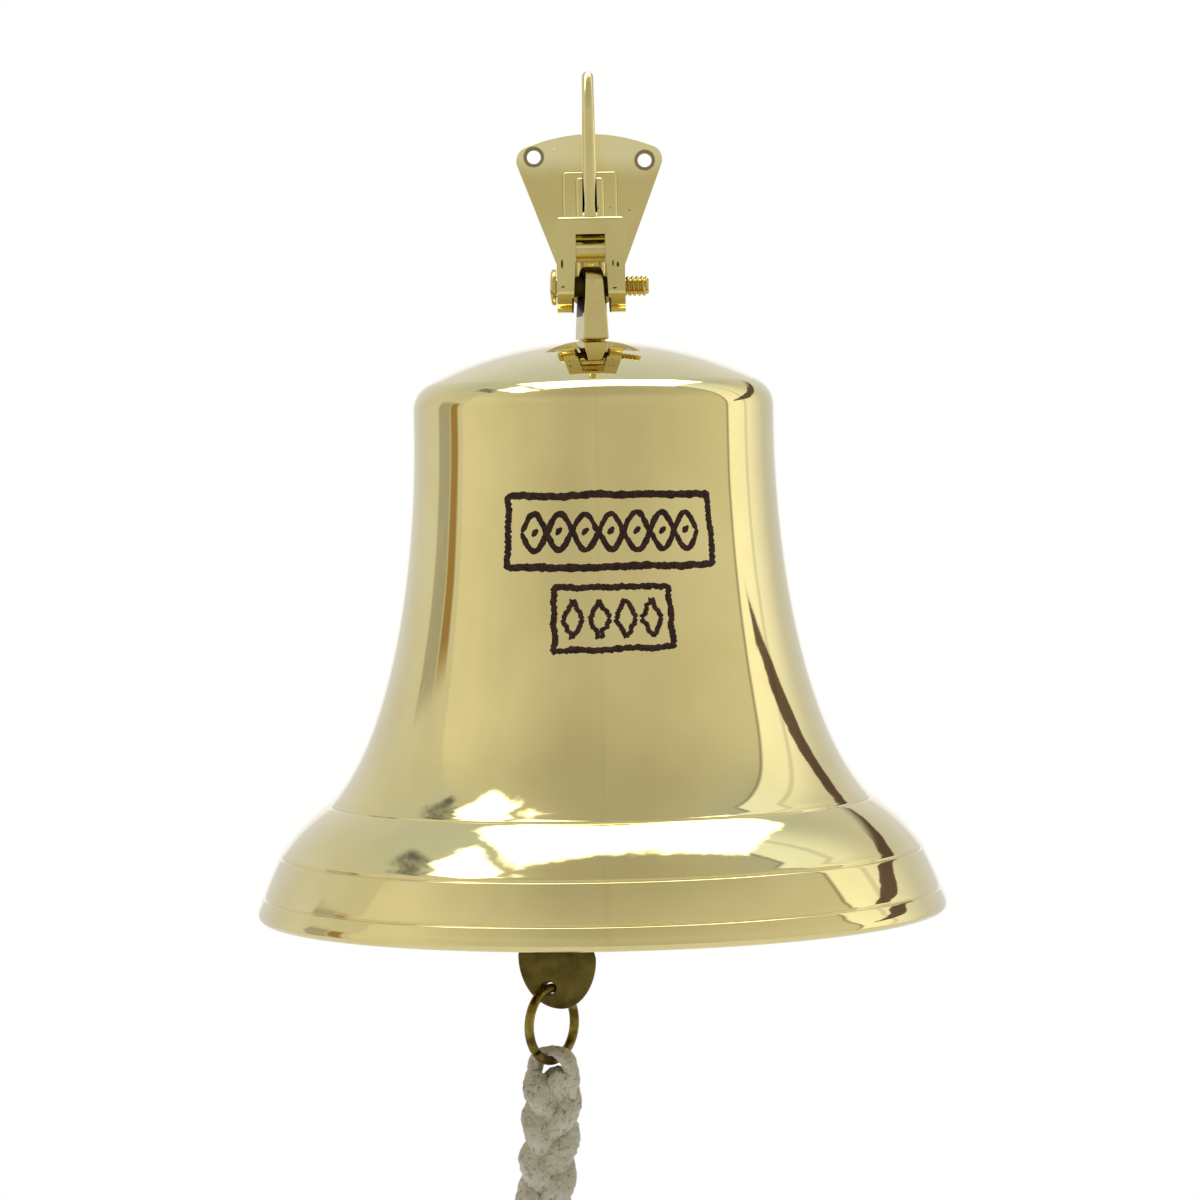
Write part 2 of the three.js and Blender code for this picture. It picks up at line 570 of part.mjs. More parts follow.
function build() {
  const bracket = group(0, 0, 0,
    part('back_plate', backPlate(), castBrass),
    part('scroll_arm', scrollArm(), castBrass));
  for (const [name, side] of [['arm_screw_upper', 1], ['arm_screw_lower', -1]]) {
    const screw = part(name, armScrewShape(0), steel);
    screw.position.set(0, -gap, side * armScrew.rise);
    bracket.add(screw);
  }

  const hung = group(0, -reach, -pivotDrop,
    part('bell_fork', bellFork(), castBrass),
    part('pivot_bolt', pivotBolt(), screwBrass));

  const shell = part('bell_shell', bellShell(), bellBrass);
  shell.position.z = mouthLevel;
  const turnedBell = group(0, 0, 0, part('hanger_stem', hangerStem(), castBrass), shell);
  turnedBell.rotation.z = THREE.MathUtils.degToRad(stem.twist);

  const ringTurn = THREE.MathUtils.degToRad(-pullRing.turn);
  const eye = lanyardEye();
  const eyeMesh = part('lanyard_eye', eye.geometry, cotton);
  const braidTop = eye.low - gap;
  const braid = part('lanyard_braid', lanyardBraid(), cotton);
  braid.position.z = braidTop;
  const [endX, endZ] = route.at(-1);
  const knot = part('lanyard_knot', lanyardKnot(), cotton);
  knot.position.set(endX, 0, braidTop + endZ - gap);
  const tassel = part('lanyard_tassel', lanyardTassel(), cotton);
  tassel.position.set(endX, 0, knot.position.z - lanyard.knotHeight - gap);
  eyeMesh.rotation.z = ringTurn;

  // Ring and lanyard hang plumb from the leaning tail, so their group undoes the lean.
  const lean = THREE.MathUtils.degToRad(clapper.lean);
  const ring = part('pull_ring', ringShape(), ringBrass);
  ring.rotation.z = ringTurn;
  const hanging = group(clapper.tailHoleOffset, 0, ringTopWire, ring,
    group(0, 0, -2 * pullRing.meanRadius, eyeMesh, braid, knot, tassel));
  hanging.rotation.y = -lean;

  const swinging = group(0, 0, 0, part('clapper', clapperShape(), bronze), hanging);
  swinging.rotation.y = lean;
  swinging.position.z = clapperPivot;

  const gear = group(0, 0, 0, turnedBell,
    part('crown_washer', crownWasher(), steel),
    part('crown_nut', crownNut(), steel),
    part('clapper_swivel', clapperSwivel(), steel), swinging);
  hung.add(gear);
  return group(0, 0, 0, bracket, hung);
}

export default build();
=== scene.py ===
import math
import random

import bmesh
import bpy
from mathutils import Matrix, Vector, noise


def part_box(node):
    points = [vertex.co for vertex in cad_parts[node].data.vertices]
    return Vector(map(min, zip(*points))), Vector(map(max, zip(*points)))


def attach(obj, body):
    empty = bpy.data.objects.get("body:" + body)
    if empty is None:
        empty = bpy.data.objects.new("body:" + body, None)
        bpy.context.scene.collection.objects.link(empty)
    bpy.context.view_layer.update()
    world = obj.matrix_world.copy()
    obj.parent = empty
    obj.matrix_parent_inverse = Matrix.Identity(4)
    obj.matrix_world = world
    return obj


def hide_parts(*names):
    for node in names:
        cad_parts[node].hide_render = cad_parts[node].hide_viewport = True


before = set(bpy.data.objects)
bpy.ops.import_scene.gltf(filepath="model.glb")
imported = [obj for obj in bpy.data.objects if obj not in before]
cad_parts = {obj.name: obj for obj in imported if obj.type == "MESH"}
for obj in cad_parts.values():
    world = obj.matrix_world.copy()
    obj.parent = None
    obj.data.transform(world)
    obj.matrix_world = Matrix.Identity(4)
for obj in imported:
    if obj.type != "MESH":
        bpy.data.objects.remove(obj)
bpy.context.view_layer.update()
mm = 0.001
tau = 2 * math.pi


# --- camera, then the world and its lights

camera = {
    "eye": (0.9, -1355.0, -71.9),   # mm, level with the middle of the bell
    "pitch": 2.117,                 # degrees down
    "roll": 1.04,                   # degrees clockwise, so the object leans a little to the left
    "lens": 125.8,
}


def makeCamera():
    pitch, roll = math.radians(camera["pitch"]), math.radians(camera["roll"])
    forward = Vector((0, math.cos(pitch), -math.sin(pitch)))
    right = Vector((1, 0, 0))
    up = right.cross(forward)
    tiltedUp = up * math.cos(roll) + right * math.sin(roll)
    tiltedRight = right * math.cos(roll) - up * math.sin(roll)
    data = bpy.data.cameras.new("camera")
    data.lens = camera["lens"]
    data.sensor_width = 36
    data.clip_start = 0.01
    eye = bpy.data.objects.new("camera", data)
    eye.matrix_world = Matrix.Translation(Vector(camera["eye"]) * mm) @ Matrix(
        (tiltedRight, tiltedUp, -forward)).transposed().to_4x4()
    bpy.context.scene.collection.objects.link(eye)
    bpy.context.scene.camera = eye


makeCamera()
bpy.context.scene.view_settings.view_transform = "Standard"
print("camera ready")


# --- shader nodes written as sums

class Wire:                                     # a socket that takes arithmetic
    def __init__(self, net, socket):
        self.net, self.socket = net, socket

    def out(self, name):
        return Wire(self.net, self.socket.node.outputs[name])

    def join(self, operation, *values):
        return self.net.add("ShaderNodeMath", {"operation": operation}, dict(enumerate(values)))

    def __add__(self, other):
        return self.join("ADD", self, other)

    def __radd__(self, other):
        return self.join("ADD", other, self)

    def __sub__(self, other):
        return self.join("SUBTRACT", self, other)

    def __rsub__(self, other):
        return self.join("SUBTRACT", other, self)

    def __mul__(self, other):
        return self.join("MULTIPLY", self, other)

    def __rmul__(self, other):
        return self.join("MULTIPLY", other, self)

    def __truediv__(self, other):
        return self.join("DIVIDE", self, other)

    def __rtruediv__(self, other):
        return self.join("DIVIDE", other, self)

    def __pow__(self, other):
        return self.join("POWER", self, other)

    def __abs__(self):
        return self.join("ABSOLUTE", self)


class Net:
    def __init__(self, tree):
        self.tree = tree
        tree.nodes.clear()

    def add(self, kind, settings=None, values=None):
        node = self.tree.nodes.new(kind)
        for name, value in (settings or {}).items():
            if name == "stops":
                while len(node.color_ramp.elements) < len(value):
                    node.color_ramp.elements.new(0.5)
                for element, (place, shade) in zip(node.color_ramp.elements, value):
                    element.position = place
                    element.color = (*shade, 1) if isinstance(shade, tuple) else (shade, shade, shade, 1)
            else:
                setattr(node, name, value)
        for name, value in (values or {}).items():
            if isinstance(value, Wire):
                self.tree.links.new(value.socket, node.inputs[name])
            else:
                node.inputs[name].default_value = value
        return Wire(self, node.outputs[0]) if len(node.outputs) else node

    def noise(self, vector, scale, detail=2.0, roughness=0.5):
        return self.add("ShaderNodeTexNoise", {}, {
            "Vector": vector, "Scale": scale, "Detail": detail, "Roughness": roughness})

    def ease(self, value, low, high, start=0.0, end=1.0):
        return self.add("ShaderNodeMapRange", {"interpolation_type": "SMOOTHSTEP"}, {
            "Value": value, "From Min": low, "From Max": high, "To Min": start, "To Max": end})

    def between(self, value, start, end):       # 1 inside, eased over the pair of values at each end
        return self.ease(value, *start) * self.ease(value, *end, 1.0, 0.0)

    def blend(self, share, first, second):
        mixed = self.add("ShaderNodeMix", {"data_type": "RGBA"}, {0: share, 6: first, 7: second})
        return mixed.out(2)

    def stretched(self, vector, x, y, z):
        return self.add("ShaderNodeMapping", {}, {"Vector": vector, "Scale": (x, y, z)})


def colour(red, green, blue):                   # screen values 0-255 to linear
    def linear(v):
        v /= 255
        return v / 12.92 if v <= 0.04045 else ((v + 0.055) / 1.055) ** 2.4
    return (linear(red), linear(green), linear(blue), 1.0)


studio = {
    "frontLeft": 0.88, "front": 0.62, "frontRight": 0.74,       # brightness of each card
    "left": 0.80, "right": 1.3, "farRight": 0.76, "backdrop": 0.82,
    "leftEdge": -1.60, "rightEdge": 1.62,       # radians round from the camera
    "skyLeft": -0.36, "skyRight": 0.58,         # overhead places are sideways or depth over rise
    "skyNear": -0.20, "skyFar": 0.42, "skySlant": 0.25,
    "daylight": (3.6, 3.8, 4.2, 1),
    "post": (0.36, 0.22, 0.07, 1), "postTop": (0.14, 0.06, 0.03, 1), "beam": (0.075, 0.028, 0.022, 1),
    "woodShare": 0.92,
    "boxSize": (1.2, 0.8), "boxPlace": (0.15, 0.1, 1.15), "boxPower": 4.0,
    "floorDrop": 1.1, "floorRadius": 3.0, "floorSides": 96,
}


def makeWorld():
    world = bpy.data.worlds.new("studio")
    world.use_nodes = True
    bpy.context.scene.world = world
    net = Net(world.node_tree)
    ray = net.add("ShaderNodeTexCoord").out("Generated")
    split = net.add("ShaderNodeSeparateXYZ", {}, {"Vector": ray})
    x, y, z = split.out("X"), split.out("Y"), split.out("Z")
    around = x.join("ARCTAN2", x, 0 - y)
    left, right = studio["leftEdge"], studio["rightEdge"]

    def strip(place, half, soft):
        return net.ease(abs(around - place), half, half + soft, 1.0, 0.0)

    # the white card in front, lighter on its left, with a fold down the middle
    card = net.between(around, (left, left + 0.02), (right, right + 0.02))
    tone = net.ease(around, left, -0.2, studio["frontLeft"], studio["front"])
    tone = tone + net.ease(around, 0.35, right, 0.0, studio["frontRight"] - studio["front"])
    tone = tone * net.ease(z, 0.45, 0.8, 1.0, 0.84)
    tone = tone * net.ease(abs(around - 0.03), 0.0, 0.035, 0.95, 1.0)
    sides = net.ease(around, -0.5, 0.5, studio["left"], studio["right"])
    sides = sides - net.ease(around, right + 0.3, right + 0.8, 0.0, studio["right"] - studio["farRight"])
    sides = sides + net.ease(abs(around), 2.55, 3.0, 0.0, 1.0) * (studio["backdrop"] - sides)
    cloud = net.ease(net.noise(ray, 1.6, 2.0), 0.3, 0.7, 0.95, 1.03)
    light = (card * tone + (1 - card) * sides) * cloud

    # gaps between the cards
    rag = net.noise(net.stretched(ray, 2.0, 2.0, 9.0), 1.0, 4.0, 0.7)
    shadow = strip(left - 0.31, 0.09, 0.03) * net.between(z, (-0.35, -0.2), (0.22, 0.34))
    light = light * (1 - 0.38 * shadow * net.ease(rag, 0.3, 0.5, 0.6, 1.0))
    light = light * (1 - 0.62 * strip(right + 0.015, 0.006, 0.02))
    light = light * (1 - 0.25 * strip(right + 0.34, 0.01, 0.03))

    # the unlit ceiling on the left
    rise = z.join("MAXIMUM", z, 0.05)
    slopeX, slopeY = x / rise, y / rise
    ragged = 0.4 * (rag - 0.5)
    aloft = net.ease(z, 0.5, 0.62)
    ceiling = net.ease(slopeX + ragged, -1.04, -0.94) * net.ease(slopeX, -0.78, -0.70, 1.0, 0.0)
    ceiling = ceiling * net.ease(slopeY + ragged, 0.0, 0.1) * net.ease(slopeY, 0.3, 0.42, 1.0, 0.0)
    light = light * (1 - 0.75 * aloft * ceiling * net.ease(rag, 0.38, 0.6, 0.4, 1.0))

    # warm in front, cooler behind; the colours are doubled because a blend stops at 1
    low = net.ease(z, -0.6, -0.1, 0.9, 1.0)
    behind = net.ease(z, 0.45, 0.8) * net.ease(y, -0.3, 0.1)
    doubled = net.blend((1 - card) * net.ease(y, -0.3, 0.3), (2, 1.996, 1.97, 1), (1.84, 1.89, 2.0, 1))
    doubled = net.blend(behind, doubled, (1.64, 1.80, 2.10, 1))
    shade = net.blend(light * low / 2, (0, 0, 0, 1), doubled)

    # a wooden post on the left and a slanting beam on the right
    post = strip(left - 0.13, 0.045, 0.03) * net.between(z, (-0.35, -0.2), (0.2, 0.32))
    wood = net.blend(net.ease(z, 0.35, 0.6), studio["post"], studio["postTop"])
    shade = net.blend(post * studio["woodShare"], shade, wood)
    sway = around - (1.33 + 2.7 * z + 0.3 * (rag - 0.5))
    beam = net.ease(abs(sway) - 0.15 * net.ease(z, 0.14, 0.26), 0.0, 0.02, 1.0, 0.0)
    beam = beam * net.between(z, (0.14, 0.17), (0.42, 0.5))
    shade = net.blend(beam * studio["woodShare"], shade, studio["beam"])

    # the skylight overhead and a smaller window to its left, with uneven edges
    torn = net.noise(ray, 7.0, 3.0, 0.6) - 0.5
    run, reach = slopeX + 0.16 * torn, slopeY - studio["skySlant"] * slopeX + 0.22 * torn
    skyLeft, skyRight, near, far = (studio[edge] for edge in ("skyLeft", "skyRight", "skyNear", "skyFar"))
    sky = net.between(run, (skyLeft - 0.06, skyLeft), (skyRight, skyRight + 0.04))
    sky = sky * net.between(reach, (near, near + 0.07), (far, far + 0.07))
    run, reach = slopeX + 0.1 * torn, slopeY + 0.3 * torn
    pane = net.between(run, (-0.80, -0.74), (-0.48, -0.44)) * net.between(reach, (-0.36, -0.26), (0.06, 0.12))
    shade = net.blend(aloft * sky.join("MAXIMUM", sky, pane), shade, studio["daylight"])
    # plain white straight behind the bell
    shade = net.blend(net.ease(y, 0.94, 0.97), shade, (1, 1, 0.995, 1))
    background = net.add("ShaderNodeBackground", {}, {"Color": shade, "Strength": 1.0})
    net.add("ShaderNodeOutputWorld", {}, {"Surface": background})


def makeStage():
    box = bpy.data.lights.new("overhead box", "AREA")
    box.shape = "RECTANGLE"
    box.size, box.size_y = studio["boxSize"]
    box.energy = studio["boxPower"]
    lamp = bpy.data.objects.new("overhead box", box)
    lamp.location = studio["boxPlace"]
    lamp.visible_glossy = False
    bpy.context.scene.collection.objects.link(lamp)
    sides, radius = studio["floorSides"], studio["floorRadius"]
    angles = [tau * i / sides for i in range(sides)]
    verts = [(radius * math.cos(a), radius * math.sin(a), 0) for a in angles]
    floor = makePiece("floor", verts, [tuple(range(sides))], floorPaint())
    floor.location = (0, 0, -studio["floorDrop"])


# --- finishes

def newMaterial(name):
    material = bpy.data.materials.new(name)
    material.use_nodes = True
    net = Net(material.node_tree)
    place = net.add("ShaderNodeTexCoord").out("Object")
    return material, net, place


def finishMaterial(net, inputs):
    shader = net.add("ShaderNodeBsdfPrincipled", {}, inputs)
    net.add("ShaderNodeOutputMaterial", {}, {"Surface": shader})


def floorPaint():
    material, net, place = newMaterial("pale floor")
    speckle = net.noise(place, 60.0, 4.0)
    finishMaterial(net, {"Base Color": net.blend(speckle, colour(206, 205, 202), colour(214, 213, 211)),
                         "Roughness": 0.75})
    return material


def brass(name, light, dark, rough, waves, pits=0.0, turnedLines=0.0, patchScale=28.0, lacquer=0.12,
          slotShade=None, pores=(), shadedSeats=(), crest=None):
    material, net, place = newMaterial(name)
    patches = net.noise(place, patchScale, 3.0, 0.55)
    fine = net.noise(place, 900.0, 3.0, 0.6)
    tint = net.ease(patches, 0.32, 0.68)
    surface = net.blend(tint * 0.8 + fine * 0.2, dark, light)
    # hair-fine polishing marks, longer across than down
    marks = net.noise(net.stretched(place, 260.0, 260.0, 4200.0), 1.0, 4.0, 0.65)
    roughness = rough + net.ease(marks, 0.5, 0.85, 0.0, rough * 0.7) + tint * (rough * 0.25)
    swell = net.noise(place, 42.0, 1.0, 0.4) * waves
    relief = swell + marks * (waves * 0.012)
    if turnedLines:
        rings = net.noise(net.stretched(place, 3.0, 3.0, 2600.0), 1.0, 2.0, 0.5)
        relief = relief + rings * turnedLines
        roughness = roughness + net.ease(rings, 0.55, 0.8, 0.0, rough * 0.4)
    if pits:
        specks = net.add("ShaderNodeTexVoronoi", {}, {"Vector": place, "Scale": 420.0})
        chosen = net.noise(place, 130.0, 2.0)
        spots = net.ease(specks, 0.05, 0.22, 1.0, 0.0) * net.ease(chosen, 0.60, 0.68)
        relief = relief - spots * pits
        surface = net.blend(spots * 0.8, surface, colour(70, 52, 20))
        roughness = roughness + spots * 0.3
    split = net.add("ShaderNodeSeparateXYZ", {}, {"Vector": place})
    x, y, z = split.out("X"), split.out("Y"), split.out("Z")
    if slotShade:                                   # painted shade inside the fork's slot, on rougher brass: half width, back, low and high in mm
        half, back, bottom, top = (value * mm for value in slotShade)
        edge = 0.3 * mm
        inside = net.ease(abs(x), half, half + edge, 1.0, 0.0) * net.ease(z, top, top + edge, 1.0, 0.0)
        inside = inside * net.ease(z, bottom - edge, bottom) * net.ease(y, back - edge, back)
        inside = inside * net.ease(patches, 0.2, 0.5, 0.82, 1.0)
        # painted shade: the inside of the slot is darkened nearly to black-brown
        surface = net.blend(inside * 0.93, surface, colour(58, 38, 12))
        roughness = roughness + inside * 0.42
    for across, rise, wide, tall in pores:      # casting pores on the front, places in mm
        dx, dz = (x - across * mm) / (wide * mm), (z - rise * mm) / (tall * mm)
        hole = net.ease(dx * dx + dz * dz, 0.6, 1.3, 1.0, 0.0)
        surface = net.blend(hole * 0.9, surface, colour(36, 24, 8))
        roughness = roughness + hole * 0.4
        relief = relief - hole * 0.25
    if crest is not None:                       # a painted highlight on the plate's top, brighter above this height, in mm
        topHighlight = net.ease(z + (patches - 0.5) * 8 * mm, crest * mm, (crest + 9) * mm)
        surface = net.blend(topHighlight * 0.85, surface, colour(255, 243, 184))
    for across, rise, reach in shadedSeats:           # painted shade on the spot faces round the screw holes, which are also rougher
        dx, dz = x - across * mm, z - rise * mm
        seatShade = net.ease((dx * dx + dz * dz) ** 0.5, (reach - 0.25) * mm, (reach + 0.1) * mm, 1.0, 0.0)
        surface = net.blend(seatShade * 0.8, surface, colour(112, 96, 58))
        roughness = roughness + seatShade * 0.3
    bump = net.add("ShaderNodeBump", {}, {"Strength": 1.0, "Distance": mm, "Height": relief})
    finishMaterial(net, {"Base Color": surface, "Metallic": 1.0, "Roughness": roughness,
                         "Normal": bump, "Coat Weight": lacquer, "Coat Roughness": 0.05})
    return material


def dullBronze():
    material, net, place = newMaterial("dull bronze")
    cloud = net.noise(place, 110.0, 5.0, 0.65)
    grain = net.noise(place, 1900.0, 3.0, 0.6)
    scratch = net.noise(net.stretched(place, 900.0, 900.0, 160.0), 1.0, 3.0, 0.7)
    surface = net.blend(net.ease(cloud, 0.3, 0.7), colour(70, 59, 20), colour(122, 106, 48))
    surface = net.blend(net.ease(scratch, 0.62, 0.75) * 0.5, surface, colour(176, 152, 82))
    relief = grain * 0.035 + cloud * 0.12 - net.ease(scratch, 0.60, 0.72) * 0.02
    bump = net.add("ShaderNodeBump", {}, {"Strength": 1.0, "Distance": mm, "Height": relief})
    finishMaterial(net, {"Base Color": surface, "Metallic": 0.85,
                         "Roughness": 0.46 + cloud * 0.16, "Normal": bump})
    return material


def agedWire():
    material, net, place = newMaterial("aged brass wire")
    cloud = net.noise(place, 190.0, 4.0, 0.6)
    surface = net.blend(net.ease(cloud, 0.35, 0.65), colour(88, 72, 26), colour(150, 132, 60))
    drawn = net.noise(place, 2400.0, 2.0, 0.5)
    bump = net.add("ShaderNodeBump", {}, {"Strength": 0.6, "Distance": mm, "Height": drawn * 0.02})
    finishMaterial(net, {"Base Color": surface, "Metallic": 1.0,
                         "Roughness": 0.24 + cloud * 0.18, "Normal": bump})
    return material


def platedSteel():
    material, net, place = newMaterial("plated steel")
    cloud = net.noise(place, 260.0, 4.0, 0.6)
    surface = net.blend(cloud, colour(150, 148, 140), colour(196, 195, 190))
    finishMaterial(net, {"Base Color": surface, "Metallic": 1.0, "Roughness": 0.3 + cloud * 0.2})
    return material


def framePaint():
    material, net, place = newMaterial("dark brown paint")
    cloud = net.noise(place, 700.0, 4.0, 0.6)
    surface = net.blend(net.ease(cloud, 0.35, 0.7), colour(34, 17, 10), colour(66, 38, 24))
    bump = net.add("ShaderNodeBump", {}, {"Strength": 1.0, "Distance": mm, "Height": cloud * 0.05})
    finishMaterial(net, {"Base Color": surface, "Roughness": 0.62 + cloud * 0.2, "Normal": bump,
                         "Specular IOR Level": 0.25})
    return material


def cotton():
    material, net, place = newMaterial("plaited cotton")
    soil = net.noise(place, 75.0, 4.0, 0.6)
    fibre = net.noise(place, 2600.0, 4.0, 0.7)
    strand = net.noise(net.stretched(place, 1500.0, 1500.0, 420.0), 1.0, 3.0, 0.6)
    surface = net.blend(net.ease(soil, 0.3, 0.7), colour(182, 175, 147), colour(214, 208, 181))
    surface = net.blend(net.ease(fibre, 0.35, 0.6) * 0.5, surface, colour(229, 224, 203))
    tufts = net.noise(place, 620.0, 3.0, 0.7)
    surface = net.blend(net.ease(strand, 0.52, 0.72) * 0.35, surface, colour(150, 139, 108))
    surface = net.blend(net.ease(tufts, 0.54, 0.66) * 0.7, surface, colour(122, 110, 80))
    relief = fibre * 0.2 + strand * 0.35 - tufts * 0.7 + soil * 0.2
    bump = net.add("ShaderNodeBump", {}, {"Strength": 1.0, "Distance": mm, "Height": relief})
    finishMaterial(net, {"Base Color": surface, "Roughness": 0.93, "Normal": bump,
                         "Sheen Weight": 0.25, "Sheen Roughness": 0.5})
    return material


# --- mesh tools

def makePiece(name, verts, faces, material, smooth=True):
    mesh = bpy.data.meshes.new(name)
    mesh.from_pydata([tuple(v) for v in verts], [], faces)
    work = bmesh.new()
    work.from_mesh(mesh)
    bmesh.ops.recalc_face_normals(work, faces=work.faces)
    work.to_mesh(mesh)
    work.free()
    mesh.polygons.foreach_set("use_smooth", [smooth] * len(mesh.polygons))
    mesh.materials.append(material)
    piece = bpy.data.objects.new(name, mesh)
    bpy.context.scene.collection.objects.link(piece)
    return piece


def settle(piece):                              # apply the modifiers
    graph = bpy.context.evaluated_depsgraph_get()
    made = bpy.data.meshes.new_from_object(piece.evaluated_get(graph))
    piece.modifiers.clear()
    piece.data = made
    return piece


def combine(piece, other, operation):
    step = piece.modifiers.new(operation, "BOOLEAN")
    step.operation, step.solver, step.object = operation, "EXACT", other
    settle(piece)
    bpy.data.objects.remove(other)
    return piece


def soften(piece, width, segments=3, angle=32):
    step = piece.modifiers.new("edges", "BEVEL")
    step.width, step.segments, step.limit_method = width * mm, segments, "ANGLE"
    step.angle_limit = math.radians(angle)
    step.use_clamp_overlap = True
    step.miter_outer = "MITER_ARC"
    settle(piece)
    for face in piece.data.polygons:
        face.use_smooth = True
    piece.data.set_sharp_from_angle(angle=math.radians(angle))
    weigh = piece.modifiers.new("normals", "WEIGHTED_NORMAL")
    weigh.keep_sharp = True
    return settle(piece)


def prism(name, outline, depth, plane, place, material):
    # outline in mm: "side" holds (y, z), drawn out along X, and "front" holds (x, z), drawn out along Y
    count = len(outline)
    verts = []
    for side in (-0.5, 0.5):
        for a, b in outline:
            point = (side * depth, a, b) if plane == "side" else (a, side * depth, b)
            verts.append((Vector(point) + Vector(place)) * mm)
    faces = [tuple(range(count)), tuple(range(2 * count - 1, count - 1, -1))]
    faces += [(i, (i + 1) % count, count + (i + 1) % count, count + i) for i in range(count)]
    return makePiece(name, verts, faces, material, smooth=False)


def roundedBar(name, outline, width, radius, material):
    # a bar drawn out along X, its long edges rounded
    count, half = len(outline), width / 2
    inward = []
    for i in range(count):
        ahead, before = Vector(outline[(i + 1) % count]), Vector(outline[i - 1])
        along = (ahead - before).normalized()
        inward.append(Vector((along.y, -along.x)))
    steps = [math.pi / 2 * k / 6 for k in range(7)]
    layers = [(-half + radius * (1 - math.cos(a)), radius * (1 - math.sin(a))) for a in steps]
    layers += [(-x, inset) for x, inset in reversed(layers)]
    verts = []
    for x, inset in layers:
        for point, way in zip(outline, inward):
            spot = Vector(point) + way * inset
            verts.append(Vector((x, spot.x, spot.y)) * mm)
    faces = [tuple(range(count)), tuple(range(len(verts) - 1, len(verts) - count - 1, -1))]
    for k in range(len(layers) - 1):
        for i in range(count):
            a, b = k * count + i, k * count + (i + 1) % count
            faces.append((a, b, b + count, a + count))
    bar = makePiece(name, verts, faces, material)
    bar.data.set_sharp_from_angle(angle=math.radians(40))
    return bar


def turn(name, profile, segments, place, material, axis="z"):
    # profile of (radius, rise) in mm; ends on the axis, or closes on itself
    loops, verts = [], []
    for radius, rise in profile:
        ring = [0.0] if radius < 1e-6 else [tau * i / segments for i in range(segments)]
        loops.append(range(len(verts), len(verts) + len(ring)))
        for angle in ring:
            a, b = radius * math.cos(angle), radius * math.sin(angle)
            point = {"z": (a, b, rise), "x": (rise, a, b), "y": (b, rise, a)}[axis]
            verts.append((Vector(point) + Vector(place)) * mm)
    closed = profile[0][0] > 1e-6
    pairs = list(zip(loops, loops[1:])) + ([(loops[-1], loops[0])] if closed else [])
    faces = []
    for low, high in pairs:
        for i in range(segments):
            j = (i + 1) % segments
            corners = [low[i % len(low)], low[j % len(low)], high[j % len(high)], high[i % len(high)]]
            unique = list(dict.fromkeys(corners))
            if len(unique) > 2:
                faces.append(tuple(unique))
    return makePiece(name, verts, faces, material)


def arc(centre, radius, start, end, steps):     # angles in degrees
    angles = [math.radians(start + (end - start) * i / steps) for i in range(steps + 1)]
    return [(centre[0] + radius * math.cos(a), centre[1] + radius * math.sin(a)) for a in angles]


def boreProfile(radius, reach):                 # a plain cutter for turn(), along both ways of its axis
    return [(0, -reach), (radius, -reach), (radius, reach), (0, reach)]


def bezier(p0, p1, p2, p3, steps):
    points = []
    for i in range(steps + 1):
        t, left = i / steps, 1 - i / steps
        points.append(tuple(left ** 3 * a + 3 * left ** 2 * t * b + 3 * left * t ** 2 * c + t ** 3 * d
                            for a, b, c, d in zip(p0, p1, p2, p3)))
    return points


def alongCurve(points, step):                   # a smooth line through the points, evenly spaced
    points = [Vector(p) for p in points]
    ends = [2 * points[0] - points[1]] + points + [2 * points[-1] - points[-2]]
    dense = []
    for a, b, c, d in zip(ends, ends[1:], ends[2:], ends[3:]):
        for i in range(24):
            t = i / 24
            dense.append(0.5 * (2 * b + (c - a) * t + (2 * a - 5 * b + 4 * c - d) * t * t
                                + (3 * b - a - 3 * c + d) * t ** 3))
    dense.append(points[-1])
    total = sum((b - a).length for a, b in zip(dense, dense[1:]))
    count = max(2, round(total / step))
    even, walked, target = [dense[0]], 0.0, total / count
    for a, b in zip(dense, dense[1:]):
        span = (b - a).length
        while walked + span >= target - 1e-12 and len(even) < count:
            even.append(a.lerp(b, (target - walked) / span if span else 0))
            target += total / count
        walked += span
    even.append(dense[-1])
    return even


def sweep(name, path, section, sides, material, closed=False, across=Vector((1, 0, 0))):
    # section(index, angle) gives the offset (along across, along the third direction), in mm; path in mm
    verts, faces, count = [], [], len(path)
    guide = Vector(across)
    for i, point in enumerate(path):
        ahead = path[(i + 1) % count] if closed or i + 1 < count else point
        before = path[i - 1] if closed or i else point
        along = (ahead - before).normalized()
        guide = (guide - along * guide.dot(along)).normalized()
        third = along.cross(guide)
        for j in range(sides):
            u, v = section(i, tau * j / sides)
            verts.append((point + guide * u + third * v) * mm)
    for i in range(count if closed else count - 1):
        for j in range(sides):
            k, m = (j + 1) % sides, (i + 1) % count
            faces.append((i * sides + j, i * sides + k, m * sides + k, m * sides + j))
    if not closed:
        faces += [tuple(range(sides - 1, -1, -1)), tuple(range((count - 1) * sides, count * sides))]
    return makePiece(name, verts, faces, material)


def turnTo(piece, place, degrees, axis):        # made about the origin, turned and then put in its place
    turned = Matrix.Rotation(math.radians(degrees), 4, axis)
    piece.data.transform(Matrix.Translation(Vector(place) * mm) @ turned)


def joinPieces(name, pieces):
    with bpy.context.temp_override(active_object=pieces[0], selected_editable_objects=pieces):
        bpy.ops.object.join()
    pieces[0].name = name
    pieces[0].data.name = name
    return pieces[0]


def stand(piece, body, slot, *nodes):
    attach(piece, body)
    if nodes:
        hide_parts(*nodes)
    return piece


def centreOf(node):
    low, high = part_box(node)
    return (low + high) / 2 / mm


# --- lanyard, the cord of this object

